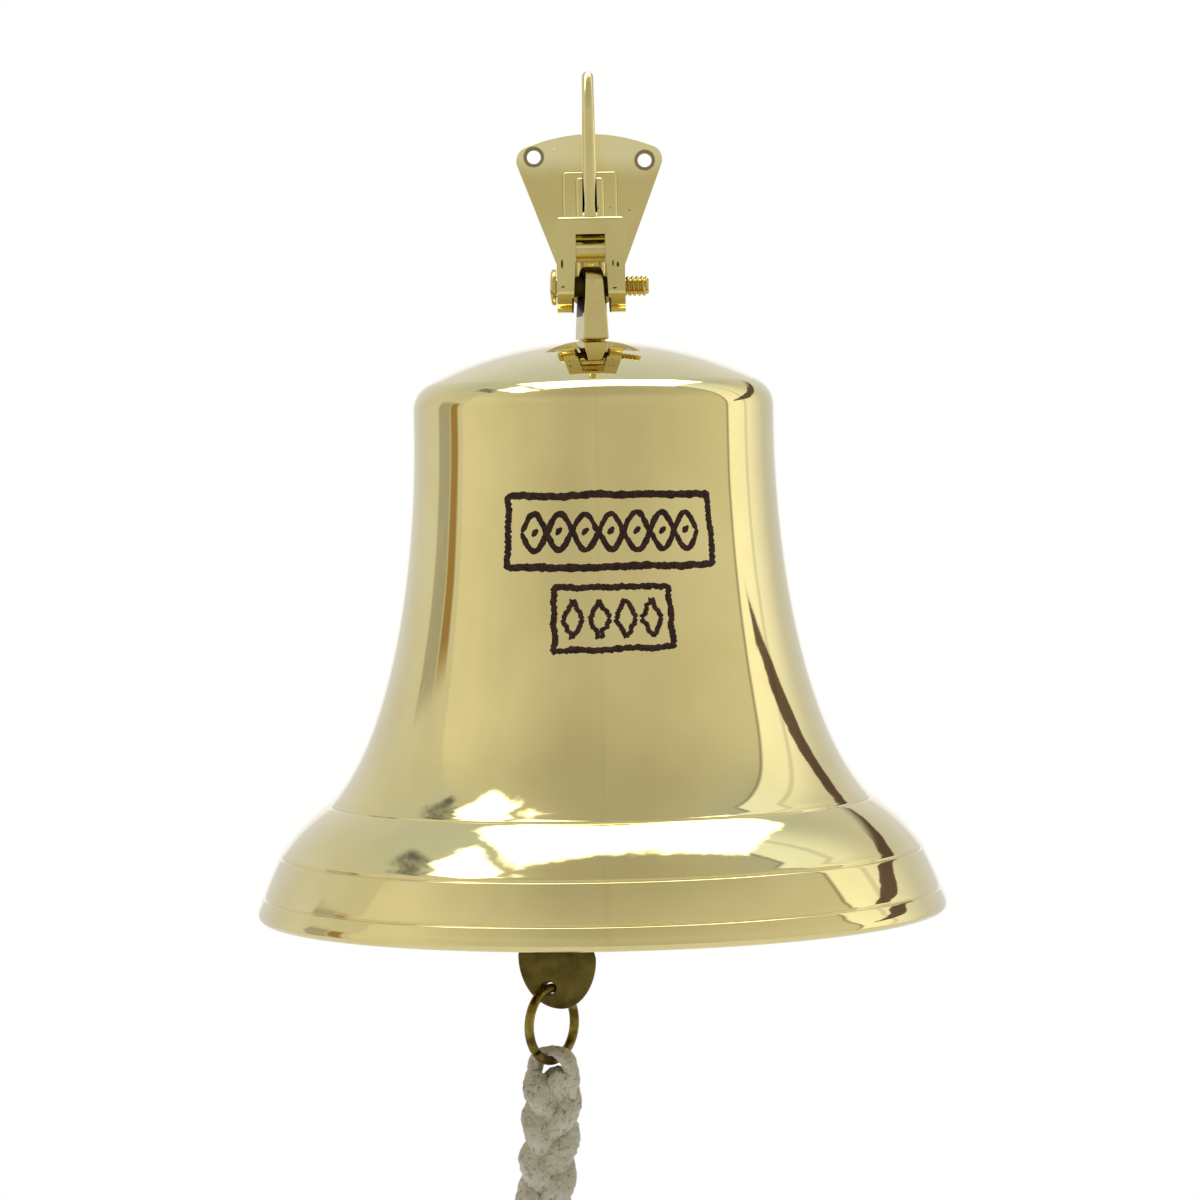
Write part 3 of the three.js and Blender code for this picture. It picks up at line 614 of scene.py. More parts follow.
lanyard = {
    "width": 17.7, "strand": 4.15, "sway": 4.75, "weave": 2.3, "lay": 33.0, "step": 0.5, "fuzz": 0.42,
    "ridges": 3, "ridgeTurns": 0.0195,
    "route": [(0, 0), (0, -2.5), (-0.6, -9), (-1.8, -20), (-3, -33), (-4, -48), (-4.7, -65), (-5, -83),
              (-5, -103), (-5, -123)],
    "eyeRoute": [(-3.4, -19), (-5.3, -15.5), (-6.0, -11.5), (-6.0, -7.5), (-5.2, -4.2), (-2.8, -1.7),
                 (0, -1.25),
                 (2.8, -1.7), (5.2, -4.2), (6.0, -7.5), (6.0, -11.5), (5.3, -15.5), (3.4, -19)],
    "eyeBand": 1.68, "eyeSpread": 1.45, "eyeTurn": 36, "eyeLean": 4,
    "knotRadius": 6.4, "knotRise": 6.6, "knotStrand": 3.1, "knotSteps": 640,
    "knotCore": [(0, 9.5), (3, 9.3), (6.2, 7), (7.6, 0), (6.2, -7), (3, -9.3), (0, -9.5)],
    "tasselYarns": 84, "tasselYarn": 0.72, "tasselTop": 4.2, "tasselFlare": 4.6, "tasselSeed": 7,
}


def ridged(radius, i, angle, turns, depth=0.07, squash=1.0):
    swell = 1 + depth * math.cos(lanyard["ridges"] * (angle + tau * turns * i))
    return (radius * swell * math.cos(angle), radius * squash * swell * math.sin(angle))


def roughen(piece, amount, scale):              # uneven yarn, in mm
    normals = [vertex.normal.copy() for vertex in piece.data.vertices]
    for vertex, normal in zip(piece.data.vertices, normals):
        place = vertex.co / mm
        lump = sum(share * noise.noise(place * scale * finer)
                   for share, finer in ((1, 1), (0.6, 2.3), (0.3, 5)))
        vertex.co += normal * (amount * (lump - 0.15) * mm)


def lanyardPath():
    eyeCentre = centreOf("lanyard_eye")
    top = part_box("lanyard_braid")[1].z / mm
    return [Vector((eyeCentre.x + x, eyeCentre.y, top + z)) for x, z in lanyard["route"]]


def plaitStrand(line, phase, name, material):
    # the strand swings across the line once a lay, and in and out twice
    spots = []
    for i, point in enumerate(line):
        travelled = i * lanyard["step"]
        swing = tau * (travelled / lanyard["lay"] + phase)
        lump = noise.noise(Vector((travelled * 0.09, phase * 7, 3.1)))
        x = (lanyard["sway"] + 0.5 * lump) * math.sin(swing)
        y = lanyard["weave"] * math.sin(2 * swing)
        spots.append(point + Vector((x, y, 0.6 * lump)))

    def section(i, angle):
        fat = 1 + 0.10 * noise.noise(Vector((i * 0.04, phase * 11, 9.7)))
        return ridged(lanyard["strand"] * fat, i, angle, lanyard["ridgeTurns"], 0.06, 0.8)
    return sweep(name, spots, section, 44, material)


def makeBraid(route, material):                 # runs on a little into the eye and the knot
    above, below = route[0] + Vector((0, 0, 4.5)), route[-1] - Vector((0, 0, 3))
    line = alongCurve([above] + route + [below], lanyard["step"])
    braid = joinPieces("lanyardBraid", [plaitStrand(line, k / 3, "strand", material) for k in range(3)])
    roughen(braid, lanyard["fuzz"], 0.75)
    return stand(braid, "lanyard", "cotton_rope", "lanyard_braid")


def makeEye(material):
    middle, top = centreOf("lanyard_eye"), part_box("lanyard_eye")[1].z / mm
    bands = []
    for side in (-lanyard["eyeSpread"], lanyard["eyeSpread"]):  # two parts side by side over the ring
        points = []
        for x, z in lanyard["eyeRoute"]:        # turned to the ring at the top, to the front at the foot
            share = min(1, max(0, -z / 16))
            angle = math.radians(-lanyard["eyeTurn"] * (1 - share) - lanyard["eyeLean"])
            depth = side + 0.25 * math.sin(z * 1.3)
            points.append((middle.x + x * math.cos(angle) - depth * math.sin(angle),
                           middle.y + x * math.sin(angle) + depth * math.cos(angle), top + z))
        line = alongCurve(points, 0.45)
        over = len(line) / 2

        def section(i, angle):                  # pulled flat where it bears on the ring
            squash = 1 - 0.42 * (1 - easeBetween(abs(i - over), 3, 13))
            return ridged(lanyard["eyeBand"] * (1 + 0.05 * math.sin(i * 0.25)), i, angle, 0.02, 0.08, squash)
        bands.append(sweep("band", line, section, 32, material, across=Vector((0, 1, 0))))
    eye = joinPieces("lanyardEye", bands)
    roughen(eye, 0.5 * lanyard["fuzz"], 0.8)
    return stand(eye, "lanyard", "cotton_rope", "lanyard_eye")


def makeKnot(middle, material):                 # the same plait, closed round a short barrel
    path = []
    for i in range(lanyard["knotSteps"]):
        t = tau * i / lanyard["knotSteps"]
        radius = lanyard["knotRadius"] + 1.5 * math.sin(8 * t)
        path.append(middle + Vector((radius * math.cos(3 * t), radius * math.sin(3 * t),
                                     lanyard["knotRise"] * math.sin(4 * t))))
    weave = sweep("weave", path, lambda i, angle: ridged(lanyard["knotStrand"], i, angle, 0.03), 26,
                  material, closed=True)
    core = turn("core", lanyard["knotCore"], 32, middle, material)
    knot = joinPieces("lanyardKnot", [weave, core])
    roughen(knot, 0.7 * lanyard["fuzz"], 0.7)
    return stand(knot, "lanyard", "cotton_rope", "lanyard_knot")


def makeTassel(middle, material):
    low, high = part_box("lanyard_tassel")
    top, bottom = high.z / mm + 1.5, low.z / mm
    golden, yarnRadius = 2.39996, lanyard["tasselYarn"]         # the yarns fill the end like seeds
    draw = random.Random(lanyard["tasselSeed"])
    yarns = []
    for i in range(lanyard["tasselYarns"]):
        share = math.sqrt((i + 0.5) / lanyard["tasselYarns"])
        angle = i * golden
        spread = 0.3 + 0.7 * draw.random()
        length = (top - bottom) * (0.84 + 0.15 * draw.random())
        points = []
        for down in (k / 6 for k in range(7)):
            reach = share * (lanyard["tasselTop"] + lanyard["tasselFlare"] * down ** 0.8)
            wave = 0.5 * math.sin(down * 7 + i) * spread
            points.append((middle.x + reach * math.cos(angle + 0.25 * down) + wave,
                           middle.y + reach * math.sin(angle + 0.25 * down) + 0.4 * wave,
                           top - length * down))
        yarns.append(sweep("yarn", alongCurve(points, 1.3),
                           lambda j, a: (yarnRadius * math.cos(a), yarnRadius * math.sin(a)), 7, material))
    tassel = joinPieces("lanyardTassel", yarns)
    return stand(tassel, "lanyard", "cotton_rope", "lanyard_tassel")


def makeLanyard(material):
    route = lanyardPath()
    braid = makeBraid(route, material)
    eye = makeEye(material)
    knotMiddle = centreOf("lanyard_knot")
    knot = makeKnot(knotMiddle, material)
    tassel = makeTassel(knotMiddle, material)
    whole = [p * mm for p in route]
    [tuple(p) for p in alongCurve(whole, 0.004)]


# --- bell

bell = {
    "height": 168.3, "mouth": 101.6, "domeRadius": 105.0, "shoulder": 9.0, "waist": 53.2, "waistTop": 141.0,
    "crownWall": 5.0, "waistWall": 3.6, "bowWall": 6.4, "lipWall": 4.6, "lipRound": 1.9,
    "bore": 4.4, "flatCrown": 12.5,             # the crown is flat inside round the stud's hole
    "grooves": [(33.5, 79.9), (18.7, 94.7), (7.0, 99.8)],       # rise above the mouth, radius
    "grooveDepth": 0.45, "grooveHalf": 0.42, "bowBulge": 0.7, "lipBulge": 0.25, "segments": 288,
}


def easeBetween(value, low, high):
    t = min(1, max(0, (value - low) / (high - low)))
    return t * t * (3 - 2 * t)


def bulged(start, end, steps, out, up):         # a straight run swollen in the middle, start left out
    points = []
    for share in (i / steps for i in range(1, steps + 1)):
        swell = 4 * share * (1 - share)
        points.append((start[0] + (end[0] - start[0]) * share + out * swell,
                       start[1] + (end[1] - start[1]) * share + up * swell))
    return points


def bellOutside():                              # (radius, rise) from the crown down to the mouth
    (topRise, topRadius), (midRise, midRadius), (lowRise, lowRadius) = bell["grooves"]
    dome, shoulder, waist, mouth = bell["domeRadius"], bell["shoulder"], bell["waist"], bell["mouth"]
    domeCentre, shoulderX = bell["height"] - dome, waist - shoulder
    turnAngle = math.asin(shoulderX / (dome - shoulder))
    shoulderZ = domeCentre + (dome - shoulder) * math.cos(turnAngle)
    points = []
    for angle in (turnAngle * (0.045 + 0.955 * i / 18) for i in range(19)):
        points.append((dome * math.sin(angle), domeCentre + dome * math.cos(angle)))
    for angle in (turnAngle + (math.pi / 2 - turnAngle) * i / 16 for i in range(1, 17)):
        points.append((shoulderX + shoulder * math.sin(angle), shoulderZ + shoulder * math.cos(angle)))
    points += bezier((waist, bell["waistTop"]), (waist + 0.4, bell["waistTop"] - 44),
                     (topRadius - 17.5, topRise + 18), (topRadius, topRise), 48)
    points += bulged((topRadius, topRise), (midRadius, midRise), 14, bell["bowBulge"], bell["bowBulge"])
    points += bulged((midRadius, midRise), (lowRadius, lowRise), 10, bell["lipBulge"], 0)
    edge = bell["lipRound"]
    points += bezier((lowRadius, lowRise), (lowRadius + 1.3, lowRise - 3), (mouth, 3.4), (mouth, edge), 6)[1:]
    points += arc((mouth - edge, edge), edge, 0, -90, 6)[1:]
    return points


# a groove's section: steps along the wall in half widths, with the share of the depth
groove = [(-1.6, 0), (-1.0, 0.05), (-0.55, 0.5), (-0.2, 0.95),
          (0.2, 0.95), (0.55, 0.5), (1.0, 0.05), (1.6, 0)]


def withGrooves(points):
    made, half = [], bell["grooveHalf"]
    for a, b in zip(points, points[1:]):
        made.append(a)
        for rise, _ in bell["grooves"]:
            if a[1] >= rise > b[1]:
                along = Vector(b) - Vector(a)
                middle = Vector(a) + along * ((a[1] - rise) / (a[1] - b[1]))
                along.normalize()
                inward = Vector((along.y, -along.x))
                made = [p for p in made if (Vector(p) - middle).length > half * 1.7]
                made += [tuple(middle + along * (half * step) + inward * (depth * bell["grooveDepth"]))
                         for step, depth in groove]
    made.append(points[-1])
    return made


def wallAt(rise):
    top, middle = bell["grooves"][0][0], bell["grooves"][1][0]
    lip, bow, waist, crown = bell["lipWall"], bell["bowWall"], bell["waistWall"], bell["crownWall"]
    if rise < middle:
        return lip + (bow - lip) * easeBetween(rise, 0, middle)
    if rise < bell["waistTop"]:
        return bow + (waist - bow) * easeBetween(rise, middle, top + 36)
    return waist + (crown - waist) * easeBetween(rise, bell["waistTop"], bell["height"] - 2)


def bellInside(outside):                        # back up from the lip, the wall's thickness further in
    points = []
    for i in range(len(outside) - 9, 0, -1):
        (r0, z0), (r1, z1) = outside[i - 1], outside[i + 1]
        length = math.hypot(r1 - r0, z1 - z0)
        radius, rise = outside[i]
        wall = wallAt(rise)
        spot = (radius + (z1 - z0) / length * wall, rise - (r1 - r0) / length * wall)
        if spot[0] > bell["flatCrown"] + 1:
            points.append(spot)
    return points


def makeBell(material):
    low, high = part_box("bell_shell")
    place = Vector(((low.x + high.x) / 2, (low.y + high.y) / 2, low.z)) / mm
    outside = bellOutside()
    inside = bellInside(outside)
    ceiling = bell["height"] - bell["crownWall"]
    lip = bell["mouth"] - bell["lipWall"]
    profile = [(bell["bore"], bell["height"])] + withGrooves(outside) + [(lip + 0.8, 0.0), (lip, 0.8)]
    profile += inside + [(bell["flatCrown"], ceiling), (bell["bore"], ceiling)]
    shell = turn("bellShell", profile, bell["segments"], place, material)
    stand(shell, "bell", "bell_brass", "bell_shell")
    return outside, place


# --- the two painted frames, hand drawn on the bell

painted = {                                     # degrees round and mm above the mouth
    "upper": {"left": -26.9, "right": 36.3, "top": 123.6, "bottom": 103.2, "line": 1.0},
    "lower": {"left": -12.2, "right": 20.9, "top": 97.6, "bottom": 80.2, "line": 0.85},
    "stroke": 2.3, "thick": 0.16, "wobble": 0.6, "step": 0.45, "inner": 0.8,
    "ropeInset": 4.5, "ropeWaves": 3.5, "ropeRise": 5.2, "ropePoints": 56,
    "lozenges": 4, "lozengeReach": 2.9, "lozengeRise": 5.4,
}


def onBell(outside, place, azimuth, rise, lift=0.0):
    for (r0, z0), (r1, z1) in zip(outside, outside[1:]):
        if z0 >= rise >= z1:
            share = (z0 - rise) / (z0 - z1) if z0 > z1 else 0
            radius = r0 + (r1 - r0) * share
            slope = Vector((z0 - z1, 0, r1 - r0)).normalized()
            break
    angle = math.radians(azimuth)
    outward = Vector((math.sin(angle) * slope.x, -math.cos(angle) * slope.x, slope.z))
    spot = Vector((radius * math.sin(angle), -radius * math.cos(angle), rise)) + place
    return spot + outward * lift, outward


def brushStroke(outside, place, points, seed, material, width=1.0):
    waisted = bell["waist"] + 3
    flat = [(math.radians(a) * waisted, z, 0) for a, z in points]
    step = painted["step"]
    line = alongCurve(flat, step) if len(points) > 2 else [
        Vector(flat[0]).lerp(Vector(flat[1]), i / 120) for i in range(121)]
    verts, faces, across = [], [], (-1.0, -0.72, -0.3, 0.3, 0.72, 1.0)
    for i, point in enumerate(line):
        ahead, before = line[min(i + 1, len(line) - 1)], line[max(i - 1, 0)]
        along = (ahead - before).normalized()
        side = Vector((-along.y, along.x, 0))
        s = i * step
        drift = painted["wobble"] * noise.noise(Vector((s * 0.09, seed * 3.7, 0.5)))
        taper = min(1, 0.45 + s * 0.5, 0.45 + (len(line) - 1 - i) * step * 0.5)
        for share in across:
            ragged = 0.22 * noise.noise(Vector((s * 2.6, seed * 2.3, 11.0 if share < 0 else 17.0)))
            edge = 1 + 0.42 * noise.noise(Vector((s * 0.55, seed * 5.1, 2.0 if share < 0 else 7.0))) + ragged
            half = painted["stroke"] / 2 * width * taper * edge
            spot = point + side * (share * half + drift)
            height = painted["thick"] * (1 - share * share) - 0.02
            verts.append(onBell(outside, place, math.degrees(spot.x / waisted), spot.y, height)[0] * mm)
    count = len(across)
    for i in range(len(line) - 1):
        for j in range(count - 1):
            a = i * count + j
            faces.append((a, a + 1, a + count + 1, a + count))
    return makePiece("stroke", verts, faces, material)


def frameStrokes(box):
    left, right, top, bottom = box["left"], box["right"], box["top"], box["bottom"]
    # brush lines that miss each other's ends a little
    return [[(left - 0.6, top + 0.2), (right + 0.4, top - 0.1)],
            [(left - 0.2, top + 0.3), (left + 0.1, bottom - 0.3)],
            [(left - 0.5, bottom), (right + 0.6, bottom + 0.3)],
            [(right, top + 0.4), (right + 0.2, bottom - 0.2)]]


def ropeOrnament(box):                          # two lines crossing like a laid rope, a dot in every eye
    left, right = box["left"] + painted["ropeInset"], box["right"] - painted["ropeInset"]
    middle, waves, count = (box["top"] + box["bottom"]) / 2, painted["ropeWaves"], painted["ropePoints"]
    strokes = []
    for rise in (painted["ropeRise"], -painted["ropeRise"]):
        strokes.append([(left + (right - left) * i / count, middle + rise * math.sin(tau * waves * i / count))
                        for i in range(count + 1)])
    for k in range(int(2 * waves)):
        centre = left + (right - left) * (k + 0.5) / (2 * waves)
        dot = [(-0.9, -0.9), (0.2, 0.3), (0.9, 1.0)]
        strokes.append([(centre + a, middle + z) for a, z in dot])
    return strokes


def lozengeOrnament(box):
    strokes, count = [], painted["lozenges"]
    middle, reach, rise = (box["top"] + box["bottom"]) / 2, painted["lozengeReach"], painted["lozengeRise"]
    for k in range(count):
        centre = box["left"] + (box["right"] - box["left"]) * (k + 0.72) / (count + 0.44)
        corners = [(centre - reach, middle), (centre, middle + rise),
                   (centre + reach, middle), (centre, middle - rise)]
        strokes += [[a, b] for a, b in zip(corners, corners[1:] + corners[:1])]
    return strokes


def makePaint(outside, place, material):
    strokes = []
    for box, ornament in ((painted["upper"], ropeOrnament), (painted["lower"], lozengeOrnament)):
        strokes += [(points, box["line"]) for points in frameStrokes(box)]
        strokes += [(points, painted["inner"] * box["line"]) for points in ornament(box)]
    pieces = [brushStroke(outside, place, points, seed, material, width)
              for seed, (points, width) in enumerate(strokes)]
    paint = joinPieces("paintedFrames", pieces)
    thick = paint.modifiers.new("paint", "SOLIDIFY")
    thick.thickness, thick.offset = 0.05 * mm, -1
    settle(paint)
    stand(paint, "bell", "bell_brass")


# --- bracket

bracket = {
    "width": 46.9, "top": 28.0, "bottom": 28.0, "thickness": 3.5, "corner": 4.6, "tip": 8.2,
    "shoulderTop": 24.2, "holes": [(-17.8, 20.9), (17.8, 19.3)], "hole": 2.25, "seat": 3.4, "seatDepth": 0.4,
    "footWidth": 17.8, "footTop": 15.9, "footBottom": 20.0, "footStep": 3.0,
    "innerWidth": 9.2, "innerInset": 2.1, "footRound": 1.3,
    "reach": 120.0, "pivotDrop": 25.4, "gap": 0.3, "blade": 4.4, "bladeTip": 3.4, "bladeRound": 1.7,
    "hornTip": 38.3, "hornRound": 3.3, "hornCurl": 8.0, "hornDepth": 18.0,
    "rootTop": 12.6, "rootBottom": 16.5, "waistTop": 3.5, "waistBottom": 7.0,
    "screwRise": 9.0, "screwShank": 2.2, "screwHead": 4.0,
}

fork = {
    "width": 20.0, "depth": 15.2, "top": 20.3, "ear": 7.6, "bore": 3.3,
    "edge": 1.4, "corner": 1.7, "round": 0.65,
    "slotTop": 15.1, "slotTopWidth": 8.2, "slotBottomWidth": 10.6, "webBottom": 7.5, "webThickness": 4.2,
    "hollowRadius": 4.4, "hollowRise": 10.7, "hollowFloor": 6.5,
}


def plateOutline():
    b = bracket
    cornerX, cornerZ = b["width"] / 2 - b["corner"], b["shoulderTop"] - b["corner"]
    tipZ = -b["bottom"] + b["tip"]
    run, slope = math.hypot(cornerX, cornerZ - tipZ), math.atan2(cornerZ - tipZ, cornerX)
    side = math.degrees(slope - math.acos((b["tip"] - b["corner"]) / run))
    points = arc((0, tipZ), b["tip"], 180 - side, 360 + side, 36)
    points += arc((cornerX, cornerZ), b["corner"], side, 76, 14)
    start, end = points[-1], (-points[-1][0], points[-1][1])
    lift = 2 * b["top"] - start[1]
    for t in (i / 24 for i in range(1, 24)):    # the crowned top, a parabola through the plate's height
        points.append(((1 - t) ** 2 * start[0] + t * t * end[0],
                       (1 - t) ** 2 * start[1] + 2 * t * (1 - t) * lift + t * t * end[1]))
    points += arc((-cornerX, cornerZ), b["corner"], 104, 180 - side, 14)
    return points


def makePlate(material):
    b = bracket
    plate = prism("backPlate", plateOutline(), b["thickness"], "front", (0, -b["thickness"] / 2, 0), material)
    front, hole, seat = -b["thickness"], b["hole"], b["seat"]
    floor = front + b["seatDepth"]
    for x, z in b["holes"]:
        drill = [(0, 1), (hole, 1), (hole, floor), (seat, floor), (seat, front - 1), (0, front - 1)]
        combine(plate, turn("drill", drill, 40, (x, 0, z), material, "y"), "DIFFERENCE")
    head, shank = b["screwHead"], b["screwShank"]
    for side in (1, -1):                        # countersunk from behind, for the arm's screws
        drill = [(0, 1), (head, 1), (head, -0.3), (shank, -2.1), (shank, -9), (0, -9)]
        combine(plate, turn("drill", drill, 32, (0, 0, side * b["screwRise"]), material, "y"), "DIFFERENCE")
    soften(plate, 0.55, 3)
    stand(plate, "bracket", "cast_brass", "back_plate")


def armOutline():
    b = bracket
    root = -(b["thickness"] + b["gap"] + 2 * b["footStep"] - 1)
    back = -b["reach"] + fork["depth"] / 2 + b["gap"]
    web = -b["pivotDrop"] + fork["webBottom"]
    seat = -b["pivotDrop"] + fork["top"] + b["gap"]
    front, tip = -b["reach"] + b["gap"], b["hornTip"]
    curl = (front + b["hornCurl"], tip - b["hornRound"])

    def out(share):
        return root + (back - root) * share

    def up(share):
        return seat + (tip - seat) * share
    rootTop, rootBottom = b["rootTop"], -b["rootBottom"]
    waistTop, waistBottom = b["waistTop"], -b["waistBottom"]
    points = bezier((root, rootBottom), (out(0.2), rootBottom + 1), (out(0.32), waistBottom),
                    (out(0.52), waistBottom), 18)
    points += bezier(points[-1], (out(0.71), waistBottom), (out(0.84), web), (back, web), 18)[1:]
    points += [(back, seat), (front - 1, seat)]
    # the horn's front, its curled tip, and its back down to the arm
    points += bezier(points[-1], (front + 1, up(0.19)), (front + 0.8, up(0.42)),
                     (front - 0.3, up(0.58)), 14)[1:]
    bend = arc(curl, b["hornRound"], 111.6, -54, 16)
    points += bezier(points[-1], (front - 1, up(0.72)), (front + b["hornCurl"] - 6, up(0.86)),
                     bend[0], 14)[1:]
    points += bend[1:]
    points += bezier(points[-1], (front + b["hornCurl"], up(0.7)), (front + b["hornCurl"] + 2.6, up(0.42)),
                     (front + b["hornDepth"], up(0.27)), 16)[1:]
    points += bezier(points[-1], (front + b["hornDepth"] + 12, up(0.12)), (out(0.61), waistTop),
                     (out(0.5), waistTop), 18)[1:]
    points += bezier(points[-1], (out(0.32), waistTop), (out(0.17), rootTop - 4), (root, rootTop), 16)[1:]
    return points


def boxPrism(width, depth, low, high, y, material):
    outline = [(-width / 2, low), (width / 2, low), (width / 2, high), (-width / 2, high)]
    return prism("box", outline, depth, "front", (0, y, 0), material)


def makeArm(material):
    b = bracket
    first = b["thickness"] + b["gap"]
    blade = roundedBar("scrollArm", armOutline(), b["blade"], b["bladeRound"], material)
    for vertex in blade.data.vertices:          # the horn thins towards its tip
        climb = min(1, max(0, vertex.co.z / mm / b["hornTip"]))
        vertex.co.x *= 1 - climb * (1 - b["bladeTip"] / b["blade"])
    step, low, high = b["footStep"], -b["footBottom"], b["footTop"]
    outer = boxPrism(b["footWidth"], step, low, high, -first - step / 2, material)
    inner = boxPrism(b["innerWidth"], step + 1, low + b["innerInset"], high - b["innerInset"],
                     -first - 1.5 * step + 0.5, material)
    for foot in (outer, inner):
        soften(foot, b["footRound"], 5)
    arm = joinPieces("scrollArm", [blade, outer, inner])
    stand(arm, "bracket", "cast_brass", "scroll_arm")


def slotShape(low, high, front, back, material):
    slope = (fork["slotBottomWidth"] - fork["slotTopWidth"]) / 2 / (fork["slotTop"] + fork["ear"])
    half = [fork["slotTopWidth"] / 2 + slope * (fork["slotTop"] - rise) for rise in (low, high)]
    outline = [(-half[0], low), (half[0], low), (half[1], high), (-half[1], high)]
    y = -bracket["reach"] + (front + back) / 2
    return prism("slot", outline, back - front, "front", (0, y, -bracket["pivotDrop"]), material)


def makeFork(material):
    half, place = fork["depth"] / 2, (0, -bracket["reach"], -bracket["pivotDrop"])
    edge, corner, sole = fork["edge"], fork["corner"], -fork["ear"] - 1
    side = arc((0, 0), fork["ear"], 180, 360, 36) + [(half, fork["top"])]
    side += arc((-half + edge, fork["top"] - edge), edge, 90, 180, 6)
    piece = prism("bellFork", side, fork["width"], "side", place, material)
    broad, crown = fork["width"] / 2 - corner, fork["top"] - corner
    face = [(-fork["width"] / 2, sole), (fork["width"] / 2, sole)]
    face += arc((broad, crown), corner, 0, 90, 8) + arc((-broad, crown), corner, 90, 180, 8)
    combine(piece, prism("face", face, 3 * fork["depth"], "front", place, material), "INTERSECT")
    combine(piece, slotShape(sole, fork["webBottom"], -half - 1, half + 1, material), "DIFFERENCE")
    # above the web's foot the slot has a closed, rounded back
    radius = fork["hollowRadius"]
    hollow = [(-half - 1, fork["hollowFloor"])]
    hollow += arc((half - fork["webThickness"] - radius, fork["hollowRise"]), radius, -90, 90, 18)
    hollow += [(-half - 1, fork["slotTop"])]
    cutter = prism("hollow", hollow, fork["slotTopWidth"] + 0.35, "side", place, material)
    combine(piece, cutter, "DIFFERENCE")
    combine(piece, turn("bore", boreProfile(fork["bore"], 12), 48, place, material, "x"), "DIFFERENCE")
    soften(piece, fork["round"], 4)
    stand(piece, "bracket", "cast_brass", "bell_fork")


# --- pivot bolt

bolt = {
    "radius": 3.0, "root": 2.42, "pitch": 1.38, "out": 6.9, "threadStart": 4.0,
    "head": 5.3, "headHeight": 1.9, "slot": 1.2, "slotDepth": 1.0, "slotTurn": 0.35,
}


def makeBolt(material):
    place = Vector((0, -bracket["reach"], -bracket["pivotDrop"]))
    seat = -fork["width"] / 2 - bracket["gap"]
    tip = fork["width"] / 2 + bolt["out"]
    head, height, shank = bolt["head"], bolt["headHeight"], bolt["radius"]
    profile = [(0, seat - height)]
    profile += [(head * math.sin(a), seat - height * (0.42 + 0.58 * math.cos(a) ** 0.8))
                for a in (math.pi / 2 * i / 12 for i in range(5, 12))]
    profile += [(head, seat - height * 0.4), (head, seat - 0.15), (head - 0.15, seat)]
    profile += [(shank, seat), (shank, 5.0), (0, 5.0)]
    body = turn("pivotBolt", profile, 64, place, material, "x")
    half, long = bolt["slot"] / 2, 8
    slot = prism("slot", [(-long, -half), (long, -half), (long, half), (-long, half)],
                 2 * bolt["slotDepth"], "side", (0, 0, 0), material)
    slot.data.transform(Matrix.Translation((place + Vector((seat - height, 0, 0))) * mm)
                        @ Matrix.Rotation(bolt["slotTurn"], 4, "X"))
    combine(body, slot, "DIFFERENCE")
    soften(body, 0.14, 2)
    # the thread is a true helix from inside the ear to the end
    around, perTurn, start = 48, 14, bolt["threadStart"]
    steps = int((tip - start) / bolt["pitch"] * perTurn)
    depth = shank - bolt["root"]
    verts = []
    for i in range(steps + 1):
        x = start + (tip - start) * i / steps
        fade = min(1, (tip - x) / 0.9)
        for j in range(around):
            angle = tau * j / around
            wave = ((x / bolt["pitch"] - j / around) % 1.0) * 2 - 1
            crest = min(1, max(0, 1.25 - abs(wave) * 1.5))
            radius = bolt["root"] - 0.35 * (1 - fade) + depth * crest * max(0.0, fade)
            verts.append((place + Vector((x, radius * math.cos(angle), radius * math.sin(angle)))) * mm)
    faces = [tuple(range(around - 1, -1, -1)), tuple(range(steps * around, (steps + 1) * around))]
    for i in range(steps):
        low, high = i * around, (i + 1) * around
        for j in range(around):
            after = (j + 1) % around
            faces.append((low + j, low + after, high + after, high + j))
    thread = makePiece("thread", verts, faces, material)
    stand(joinPieces("pivotBolt", [body, thread]), "bracket", "screw_brass", "pivot_bolt")


# --- hanger stem

stem = {
    "eye": 5.9, "top": 5.4, "foot": 7.8, "footDepth": 12.6, "drop": 15.9, "round": 0.7,
    "bore": 4.05, "stud": 3.9, "studChamfer": 0.6, "twist": 12.0,
}


def makeStem(material):
    place = Vector((0, -bracket["reach"], -bracket["pivotDrop"]))
    sole = -stem["drop"] + bracket["gap"]
    depth, foot, top, crown = stem["footDepth"] / 2, stem["foot"] / 2, stem["top"] / 2, stem["eye"] + 1
    side = arc((0, 0), stem["eye"], 0, 180, 48) + [(-depth, sole), (depth, sole)]
    bar = prism("hangerStem", side, 6 * foot, "side", (0, 0, 0), material)
    wedge = [(-foot, sole - 1), (foot, sole - 1), (top, crown), (-top, crown)]
    combine(bar, prism("wedge", wedge, 6 * depth, "front", (0, 0, 0), material), "INTERSECT")
    combine(bar, turn("bore", boreProfile(stem["bore"], 12), 48, (0, 0, 0), material, "x"), "DIFFERENCE")
    soften(bar, stem["round"], 4)
    bottom, radius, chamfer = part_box("hanger_stem")[0].z / mm - place.z, stem["stud"], stem["studChamfer"]
    profile = [(0, sole + 1), (radius, sole + 1), (radius, bottom + chamfer)]
    profile += [(radius - chamfer, bottom), (0, bottom)]
    stud = turn("stud", profile, 40, (0, 0, 0), material)
    whole = joinPieces("hangerStem", [bar, stud])
    turnTo(whole, place, stem["twist"], "Z")
    stand(whole, "bell", "cast_brass", "hanger_stem")


# --- clapper and pull ring

